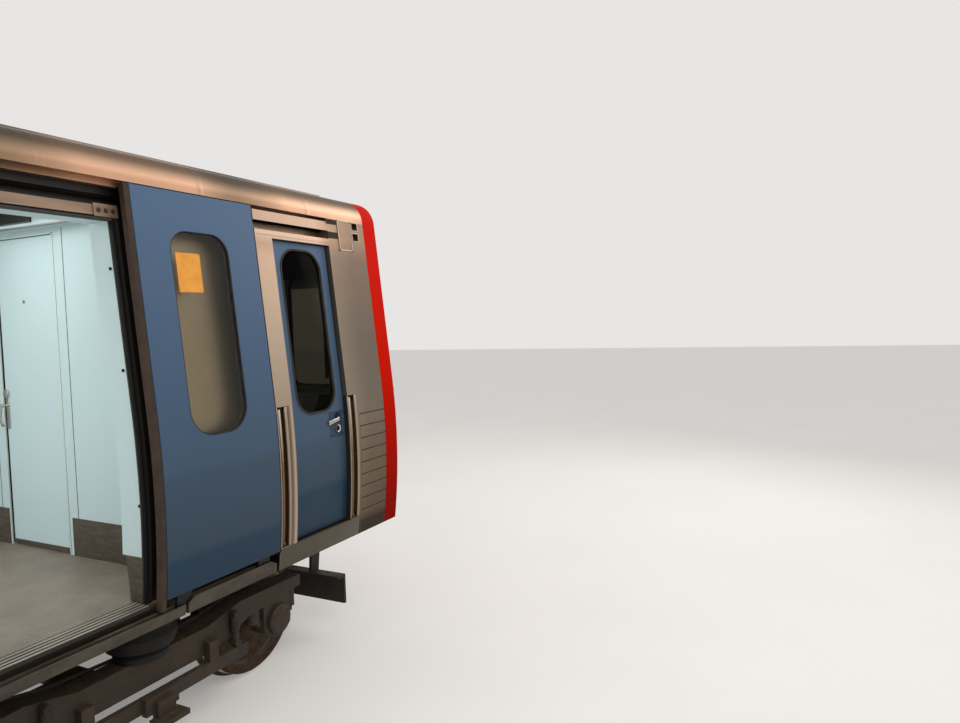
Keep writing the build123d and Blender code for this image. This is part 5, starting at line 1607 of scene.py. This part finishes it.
def addWindowTrim():
    trim = saloonTrim
    opening, z, radius = (-trim["halfWidth"], trim["halfWidth"]), heights(trim["rise"]), trim["radius"]
    outer = addRoundedRim(opening, trim["rubberInset"], z, radius, trim["rubberOver"], 0.016, 10)
    thicken(cutRows(outer), 0.030, 0.004)
    inner = addRoundedRim(opening, trim["frameInset"], z, radius, trim["frameOver"], 0.012, 10)
    thicken(cutRows(inner), 0.016, 0.005)
    for name, side in sides.items():
        for rim, label, finish, slot in ((outer, "sideWindowRubbers", "windowRubber", "spring_rubber"),
                                         (inner, "innerWindowFrames", "frame", "aluminium")):
            rims = [layOnSide(copyOf(rim, "rim"), side, x) for x in carBody["windows"]]
            finished(joined(f"{label}_{name}", rims), finish)
    discard(outer, inner)


addWindowTrim()

# Saloon ceiling: grilles along the middle

ceilingTrim = {
    "z": 3.391,
    "half": 0.120,
    "length": 1.44,
    "border": (0.05, 0.02),
    # cells along and across
    "cells": (24, 4),
    "starts": (-7.2, -5.6, -4.0, -2.4, -0.8, 0.8, 2.4, 4.0),
}


def addCeilingGrilles():
    trim = ceilingTrim
    along, across = trim["cells"]
    deselectAll()
    bpy.ops.mesh.primitive_grid_add(x_subdivisions=along, y_subdivisions=across, size=1,
                                    location=(0, 0, trim["z"]), rotation=(pi, 0, 0))
    grille = bpy.context.object
    grille.scale = (trim["length"], 2 * trim["half"], 1)
    settle(grille, "grille")
    edgeX, edgeY = trim["length"] / 2 - trim["border"][0], trim["half"] - trim["border"][1]
    selectParts(grille, lambda centre, normal: abs(centre.x) < edgeX and abs(centre.y) < edgeY, "FACE")
    bpy.ops.mesh.inset(thickness=0.007, use_individual=True)
    bpy.ops.transform.translate(value=(0, 0, 0.005))
    bpy.ops.object.mode_set(mode="OBJECT")
    thicken(grille, 0.007)
    copies = [copyOf(grille, "grille", (start + trim["length"] / 2, 0, 0)) for start in trim["starts"]]
    discard(grille)
    finished(joined("ceilingGrilles", copies), "frame")


addCeilingGrilles()
print("saloon lined")

# Padded pieces: a closed block is remeshed, filled with air in a cloth simulation and kept


def swell(piece, voxel, cap, pressure=4.0, frames=20):
    pick(piece)
    piece.data.remesh_voxel_size = voxel
    bpy.ops.object.voxel_remesh()
    before = [vertex.co.copy() for vertex in piece.data.vertices]
    cloth = piece.modifiers.new("Cloth", "CLOTH")
    cloth.settings.use_pressure = True
    cloth.settings.uniform_pressure_force = pressure
    cloth.settings.effector_weights.gravity = 0
    for n in range(1, frames + 1):
        bpy.context.scene.frame_set(n)
    bpy.ops.object.modifier_apply(modifier=cloth.name)
    bpy.context.scene.frame_set(1)
    for vertex, place in zip(piece.data.vertices, before):
        move = vertex.co - place
        vertex.co = place + move * (cap / (cap + move.length))
    return piece


# block around the origin with soft corners
def addPad(name, size, soft, segments):
    return addBlock(name, *[(-length / 2, length / 2) for length in size], soft, segments)


# sewn channels pressed into the upper face along lines of constant y
def sewChannels(piece, lines, depth, width=0.007):
    for vertex in piece.data.vertices:
        if vertex.co.z > 0:
            for line in lines:
                away = abs(vertex.co.y - line) / width
                if away < 2.5:
                    vertex.co.z -= depth * exp(-away * away)
    return piece


# a pad modelled flat around the origin, then turned about y and taken to its place
def placePad(piece, tilt, place):
    piece.data.transform(Matrix.Translation(place) @ Matrix.Rotation(tilt, 4, "Y"))
    return piece


driverSeat = {
    # name, size, place of the middle, tilt about y, corner softness, channel lines
    "pads": (
        ("seatCushion", (0.436, 0.476, 0.100), (6.855, 0.0, 1.503), 0.0, 0.030, (-0.13, 0.13)),
        ("backCushion", (0.640, 0.462, 0.098), (6.605, 0.0, 1.836), -pi / 2, 0.036, (-0.13, 0.13)),
        ("headCushion", (0.178, 0.272, 0.082), (6.6025, 0.0, 2.251), -pi / 2, 0.032, ()),
    ),
    "channel": 0.007,
    "voxel": 0.008,
    "cap": 0.010,
}


def addDriverSeat():
    for name, size, place, tilt, soft, lines in driverSeat["pads"]:
        pad = swell(addPad(name, size, soft, 4), driverSeat["voxel"], driverSeat["cap"])
        sewChannels(pad, lines, driverSeat["channel"])
        applyModifier(pad, "SUBSURF", levels=1, render_levels=1)
        placePad(pad, tilt, place)
        finished(pad, "seatCloth", smooth=60)


saloonSeats = {
    "pitch": 0.510,
    "perBench": 5,
    "wallInset": 0.170,
    "wallGap": 0.022,
    "backHigh": 0.900,
    # size, distance in from the seat's wall line, rise over the floor, tilt about the car's length
    "seatPad": ((0.425, 0.240, 0.024), 0.315, 0.449, -0.159),
    "backPad": ((0.425, 0.290, 0.024), 0.0515, 0.738, -1.368),
    "voxel": 0.012,
    "cap": 0.008,
}


# one pad of the left row, in place over the seat in the middle of a bench at x = 0
def modelSeatPad(size, inward, rise, tilt):
    trim = saloonSeats
    pad = swell(addPad("pad", size, 0.010, 3), trim["voxel"], trim["cap"])
    wallY = sideY(trim["wallInset"], floorTop + trim["backHigh"]) - trim["wallGap"]
    place = Matrix.Translation((0, wallY - inward, floorTop + rise))
    pad.data.transform(place @ Matrix.Rotation(tilt, 4, "X"))
    return pad


def addSaloonPads():
    trim = saloonSeats
    seat = joined("seatPads", [modelSeatPad(*trim["seatPad"]), modelSeatPad(*trim["backPad"])])
    shifts = [(k - trim["perBench"] // 2) * trim["pitch"] for k in range(trim["perBench"])]
    for n, x in enumerate(carBody["windows"], 1):
        row = [copyOf(seat, "seatPads", (x + shift, 0, 0)) for shift in shifts]
        left = joined(f"seatPads_left_{n}", row)
        right = mirroredCopy(left, f"seatPads_right_{n}")
        for bench in (left, right):
            finished(bench, "seatCloth", smooth=60)
    discard(seat)


addDriverSeat()
addSaloonPads()
print("seats padded")

# Cab desk: instrument screens, gauges, buttons and two levers

deskTrim = {
    "ledgeStart": (7.150, 1.796),
    "faceLow": (7.290, 1.836),
    "faceHigh": (7.350, 1.956),
    # place across and half width of the screens
    "screens": ((-0.36, 0.13), (0.02, 0.13)),
    "gauges": (0.30, 0.43),
    "buttonRows": ((7.205, -0.62, 6), (7.245, -0.62, 6), (7.245, 0.28, 7)),
    "buttonPitch": 0.055,
    "leverX": 7.215,
    "levers": (-0.20, 0.14),
}


# height of the desk's sloping ledge at x
def ledgeZ(x):
    (x0, z0), (x1, z1) = deskTrim["ledgeStart"], deskTrim["faceLow"]
    return z0 + (x - x0) * (z1 - z0) / (x1 - x0)


# turns a piece modelled around the origin onto the instrument face
def instrumentFace():
    (x0, z0), (x1, z1) = deskTrim["faceLow"], deskTrim["faceHigh"]
    slope = Vector((x1 - x0, 0, z1 - z0))
    out = Vector((-slope.z, 0, slope.x)).normalized()
    turn = Matrix((slope.normalized(), (0, 1, 0), out)).transposed().to_4x4()
    return Matrix.Translation(((x0 + x1) / 2, 0, (z0 + z1) / 2)) @ turn


def addInstruments():
    face = instrumentFace()
    screens, gauges = [], []
    for y, half in deskTrim["screens"]:
        screen = addBlock("screen", (-0.048, 0.048), (y - half, y + half), (-0.004, 0.008))
        insetFaces(screen, facing("z"), 0.012, (0, 0, -0.004))
        softEdges(screen, 0.002).data.transform(face)
        screens.append(faceOut(screen))
    for y in deskTrim["gauges"]:
        gauge = addTube("gauge", (0, y, -0.004), (0, y, 0.010), 0.045, 32)
        insetFaces(gauge, facing("z"), 0.006, (0, 0, -0.006))
        softEdges(gauge, 0.0015).data.transform(face)
        gauges.append(faceOut(gauge))
    finished(joined("deskScreens", screens), "display")
    finished(joined("deskGauges", gauges), "seatFrame")


def addButtons():
    button = addTube("button", (0, 0, -0.002), (0, 0, 0.012), 0.013, 16)
    insetFaces(button, facing("z"), 0.003, (0, 0, -0.002))
    softEdges(button, 0.0015)
    buttons = [copyOf(button, "button", (x, y + n * deskTrim["buttonPitch"], ledgeZ(x)))
               for x, y, count in deskTrim["buttonRows"] for n in range(count)]
    discard(button)
    finished(joined("deskButtons", buttons), "button")


# driving lever and direction lever, each with its base, stem and knob
def addDeskLevers():
    x = deskTrim["leverX"]
    z = ledgeZ(x)
    levers = []
    for y in deskTrim["levers"]:
        route = [(x, y, z + 0.010), (x - 0.010, y, z + 0.055), (x - 0.030, y, z + 0.095)]
        knobX, knobZ = x - 0.032, z + 0.105
        levers += [
            addBlock("base", (x - 0.045, x + 0.055), (y - 0.045, y + 0.045),
                     (z - 0.012, z + 0.016), 0.006),
            addRoute("stem", route, 0.007),
            addTube("knob", (knobX, y - 0.032, knobZ), (knobX, y + 0.032, knobZ), 0.017, 24, 0.006),
        ]
    finished(joined("deskLevers", levers), "seatFrame")


addInstruments()
addButtons()
addDeskLevers()
print("desk fitted")

# Front: windscreen rubbers, wipers and lamp bezels. Modelled flat with x across and y as depth.

frontTrim = {
    "bowRadius": 12.3415,
    "bowCentre": -4.6215,
    "screens": ((-0.655, 0.325), (0.0, 0.250), (0.655, 0.325)),
    "screenRise": (0.950, 1.880),
    "radius": 0.100,
    "over": 0.014,
    # place across, rise and radius
    "lamps": ((0.900, 0.560, 0.092), (0.690, 0.560, 0.070)),
    # pivot across, pivot rise, middle of the blade across, low and high end of the blade
    "wipers": ((0.800, 0.900, 0.700, 1.010, 1.560), (-0.800, 0.900, -0.700, 1.010, 1.560)),
}


# the bowed front's place along the car, at a depth in from its skin
def frontX(y, depth):
    return frontTrim["bowCentre"] + sqrt((frontTrim["bowRadius"] - depth) ** 2 - y * y)


def layOnFront(piece):
    for vertex in piece.data.vertices:
        across, depth, z = vertex.co
        vertex.co = (frontX(across, depth), across, z)
    return faceOut(piece)


def addWindscreenRubbers():
    trim = frontTrim
    rings = []
    for y, half in trim["screens"]:
        ring = addRoundedRim((y - half, y + half), -0.004, heights(trim["screenRise"]), trim["radius"],
                             trim["over"], 0.012, 8)
        rings.append(layOnFront(thicken(cutRows(ring), 0.034, 0.005)))
    finished(joined("windscreenRubbers", rings), "rubber")


def addLampBezels():
    bezels = []
    for y, rise, radius in frontTrim["lamps"]:
        for side in (-1, 1):
            z = leafLow + rise
            bezel = addTube("bezel", (side * y, 0.002, z), (side * y, -0.010, z), radius + 0.016, 40)
            selectParts(bezel, lambda centre, normal: abs(normal.y) > 0.9, "FACE")
            bpy.ops.mesh.inset(thickness=0.018)
            bpy.ops.mesh.bridge_edge_loops()
            bpy.ops.object.mode_set(mode="OBJECT")
            bezels.append(layOnFront(softEdges(bezel, 0.004, 3)))
    finished(joined("lampBezels", bezels), "chrome")


def addWipers():
    for n, (pivotY, pivotRise, bladeY, bladeLow, bladeHigh) in enumerate(frontTrim["wipers"], 1):
        pivotZ, lowZ, highZ = heights((pivotRise, bladeLow, bladeHigh))
        boss = addTube("boss", (pivotY, 0.002, pivotZ), (pivotY, -0.030, pivotZ), 0.022, 24, 0.004)
        arm = addRoute("arm", [(pivotY, -0.024, pivotZ), (pivotY, -0.036, pivotZ + 0.05),
                               (bladeY, -0.030, (lowZ + highZ) / 2)], 0.006)
        blade = addBlock("blade", (bladeY - 0.005, bladeY + 0.005), (-0.024, 0.012), (lowZ, highZ))
        insetFaces(blade, facing("-y"), 0.002, (0, 0.004, 0))
        softEdges(cutRows(blade, 0.05), 0.001)
        wiper = joined(f"wiper_{n}", [layOnFront(part) for part in (boss, arm, blade)])
        finished(wiper, "rubber")


addWindscreenRubbers()
addLampBezels()
addWipers()
print("front trimmed")

# Rear end: window rubbers, the door's pane and its handle

rearTrim = {
    "face": -7.775,
    "windows": (-0.760, 0.760),
    "half": 0.260,
    "rise": (1.000, 1.700),
    "radius": 0.080,
    "over": 0.013,
    "doorFace": -7.745,
    "doorHalf": 0.200,
    "doorRise": (1.050, 1.800),
    "doorThick": 0.040,
    "handle": (0.255, 1.900),
}


# flat piece, with x across and y as depth, onto the rear plane at x
def layOnRear(piece, x):
    for vertex in piece.data.vertices:
        across, depth, z = vertex.co
        vertex.co = (x + depth, across, z)
    return faceOut(piece)


def rearRim(y, half, rises):
    trim = rearTrim
    return addRoundedRim((y - half, y + half), -0.005, heights(rises), trim["radius"],
                         trim["over"], 0.012, 8)


def addRearTrim():
    trim = rearTrim
    rings = [layOnRear(thicken(rearRim(y, trim["half"], trim["rise"]), 0.030, 0.004), trim["face"])
             for y in trim["windows"]]
    finished(joined("rearWindowRubbers", rings), "windowRubber")
    face, body, half, gap = trim["doorFace"], "rear_door", trim["doorHalf"], 0.002
    ring = layOnRear(thicken(rearRim(0.0, half, trim["doorRise"]), 0.052, 0.004), face)
    ring.name = "rearDoorRubber"
    finished(ring, "windowRubber", body)
    low, high = heights(trim["doorRise"])
    corner = trim["radius"] - gap
    pane = addRoundedSheet("rearDoorPane", (-half + gap, half - gap), 0.016, (low + gap, high - gap),
                           corner, corner, 8)
    layOnRear(thicken(pane, 0.006, 0.001), face)
    finished(pane, "sideGlass", body)
    addInnerDoorHandle("rearDoorHandle", face, -1, *trim["handle"], body)
    addInnerDoorHandle("rearDoorInnerHandle", face + trim["doorThick"], 1, *trim["handle"], body)


addRearTrim()
print("rear end trimmed")

# Running gear: bolted axlebox covers, dampers and brake pipes

bogieTrim = {
    "centres": (("front", 5.55), ("rear", -5.55)),
    "axleHalf": 1.05,
    "capY": 1.078,
    "capRadius": 0.101,
    "boltCircle": 0.082,
    "bolts": 6,
    "damperX": 0.620,
    "damperY": 1.100,
    "pipeY": 0.915,
    # place along the bogie and height of the brake pipe, front half
    "pipe": ((0.45, 0.660), (0.80, 0.710), (1.10, 0.700)),
}


def modelAxleCap():
    trim = bogieTrim
    y, z = trim["capY"], carBody["axleHigh"]
    cap = addTube("cap", (0, y - 0.002, z), (0, y + 0.016, z), trim["capRadius"], 32)
    insetFaces(cap, facing("y"), 0.036, (0, 0.010, 0))
    parts = [softEdges(cap, 0.003)]
    for n in range(trim["bolts"]):
        angle = 2 * pi * (n + 0.5) / trim["bolts"]
        x, up = trim["boltCircle"] * cos(angle), trim["boltCircle"] * sin(angle)
        parts.append(addTube("bolt", (x, y + 0.014, z + up), (x, y + 0.026, z + up), 0.010, 6, 0.0015))
    return joined("axleCap", parts)


# upright damper between the side beam and the axlebox
def modelDamper():
    x, y = bogieTrim["damperX"], bogieTrim["damperY"]
    body = addTube("body", (x, y, 0.540), (x, y, 0.640), 0.030, 20, 0.004)
    sleeve = addTube("sleeve", (x, y, 0.470), (x, y, 0.545), 0.022, 20, 0.003)
    eyes = [addTube("eye", (x, y - 0.045, z), (x, y + 0.028, z), 0.026, 20, 0.004)
            for z in (0.458, 0.652)]
    return joined("damper", [body, sleeve] + eyes)


def modelBrakePipe(side):
    y, half = side * bogieTrim["pipeY"], bogieTrim["pipe"]
    route = [(-x, y, z) for x, z in reversed(half)] + [(x, y, z) for x, z in half]
    return addRoute("pipe", route, 0.011)


def addBogieTrim():
    trim = bogieTrim
    cap, damper = modelAxleCap(), modelDamper()
    pipes = modelBrakePipe(1), modelBrakePipe(-1)
    for name, centre in trim["centres"]:
        caps, dampers = [], []
        for offset in (-trim["axleHalf"], trim["axleHalf"]):
            left = copyOf(cap, "cap", (centre + offset, 0, 0))
            caps += [left, mirroredCopy(left, "cap")]
        for way in (-1, 1):
            left = copyOf(damper, "damper")
            left.data.transform(Matrix.Translation((centre, 0, 0)) @ Matrix.Scale(way, 4, (1, 0, 0)))
            faceOut(left)
            dampers += [left, mirroredCopy(left, "damper")]
        body = f"bogie_{name}"
        finished(joined(f"axleCaps_{name}", caps), "bogie", body)
        finished(joined(f"dampers_{name}", dampers), "underframe", body)
        pair = joined(f"brakePipes_{name}", [copyOf(pipe, "pipe", (centre, 0, 0)) for pipe in pipes])
        finished(pair, "underframe", body)
    discard(cap, damper, *pipes)


addBogieTrim()
print("bogies trimmed")

# Equipment cases: hinges and cooling louvres on the doors

caseTrim = {
    "bayHalf": 3.902,
    "face": 1.130,
    "high": 0.840,
    "top": 0.880,
    # a door's usual width, and the bare steel at each end of a case
    "doorWidth": 0.6,
    "margin": 0.03,
    "hingeFromEdge": 0.09,
    "hingeRise": 0.078,
    "doorRise": 0.07,
    "blades": 6,
    "bladePitch": 0.025,
    # start and end as shares of the bay, side, depth below the underframe
    "cases": (
        (0.02, 0.17, 1, 0.440),
        (0.20, 0.38, 1, 0.480),
        (0.42, 0.60, 1, 0.440),
        (0.64, 0.79, 1, 0.500),
        (0.82, 0.98, 1, 0.420),
        (0.02, 0.25, -1, 0.480),
        (0.29, 0.55, -1, 0.430),
        (0.59, 0.72, -1, 0.480),
    ),
}


# louvre field: tilted blades in a raised frame, on a left-hand door face
def modelLouvres():
    y = caseTrim["face"]
    frameBox = addBlock("louvres", (-0.16, 0.16), (y - 0.002, y + 0.010), (-0.09, 0.09))
    insetFaces(frameBox, facing("y"), 0.012, (0, -0.008, 0))
    parts = [softEdges(frameBox, 0.002)]
    for n in range(caseTrim["blades"]):
        z = (n - (caseTrim["blades"] - 1) / 2) * caseTrim["bladePitch"]
        blade = addBlock("blade", (-0.146, 0.146), (y + 0.001, y + 0.009), (z - 0.009, z + 0.009))
        selectParts(blade, lambda co: co.z < z and co.y > y + 0.005)
        bpy.ops.transform.translate(value=(0, 0.004, -0.003))
        selectParts(blade, lambda co: co.z > z and co.y > y + 0.005)
        bpy.ops.transform.translate(value=(0, -0.006, 0))
        bpy.ops.object.mode_set(mode="OBJECT")
        parts.append(softEdges(blade, 0.0012))
    return joined("louvres", parts)


def modelCaseHinge():
    y = caseTrim["face"]
    knuckle = addTube("hinge", (-0.04, y + 0.008, 0), (0.04, y + 0.008, 0), 0.009, 12, 0.002)
    leafPlate = addBlock("leafPlate", (-0.034, 0.034), (y - 0.001, y + 0.004), (-0.045, 0.002), 0.0015)
    return joined("hinge", [knuckle, leafPlate])


# a copy for the left side (1), or its mirrored copy for the right one (-1)
def sidedCopy(template, side, shift):
    left = copyOf(template, template.name, shift)
    if side > 0:
        return left
    right = mirroredCopy(left, template.name)
    discard(left)
    return right


def addCaseTrim():
    trim = caseTrim
    louvres, hinge = modelLouvres(), modelCaseHinge()
    louvreCopies, hingeCopies = [], []
    for n, (start, end, side, depth) in enumerate(trim["cases"]):
        x0, x1 = ((2 * share - 1) * trim["bayHalf"] for share in (start, end))
        doors = max(2, round((x1 - x0) / trim["doorWidth"]))
        width = (x1 - x0 - 2 * trim["margin"]) / doors
        reach = width / 2 - trim["hingeFromEdge"]
        low = trim["top"] - depth
        louvreZ = (low + trim["doorRise"] + trim["high"]) / 2 - 0.03
        for k in range(doors):
            x = x0 + trim["margin"] + (k + 0.5) * width
            hingeCopies += [sidedCopy(hinge, side, (x + shift, 0, low + trim["hingeRise"]))
                            for shift in (-reach, reach)]
            if (n + k) % 2 == 0:
                louvreCopies.append(sidedCopy(louvres, side, (x, 0, louvreZ)))
    discard(louvres, hinge)
    finished(joined("caseLouvres", louvreCopies), "case")
    finished(joined("caseHinges", hingeCopies), "underframe")


addCaseTrim()
print("equipment cases trimmed")
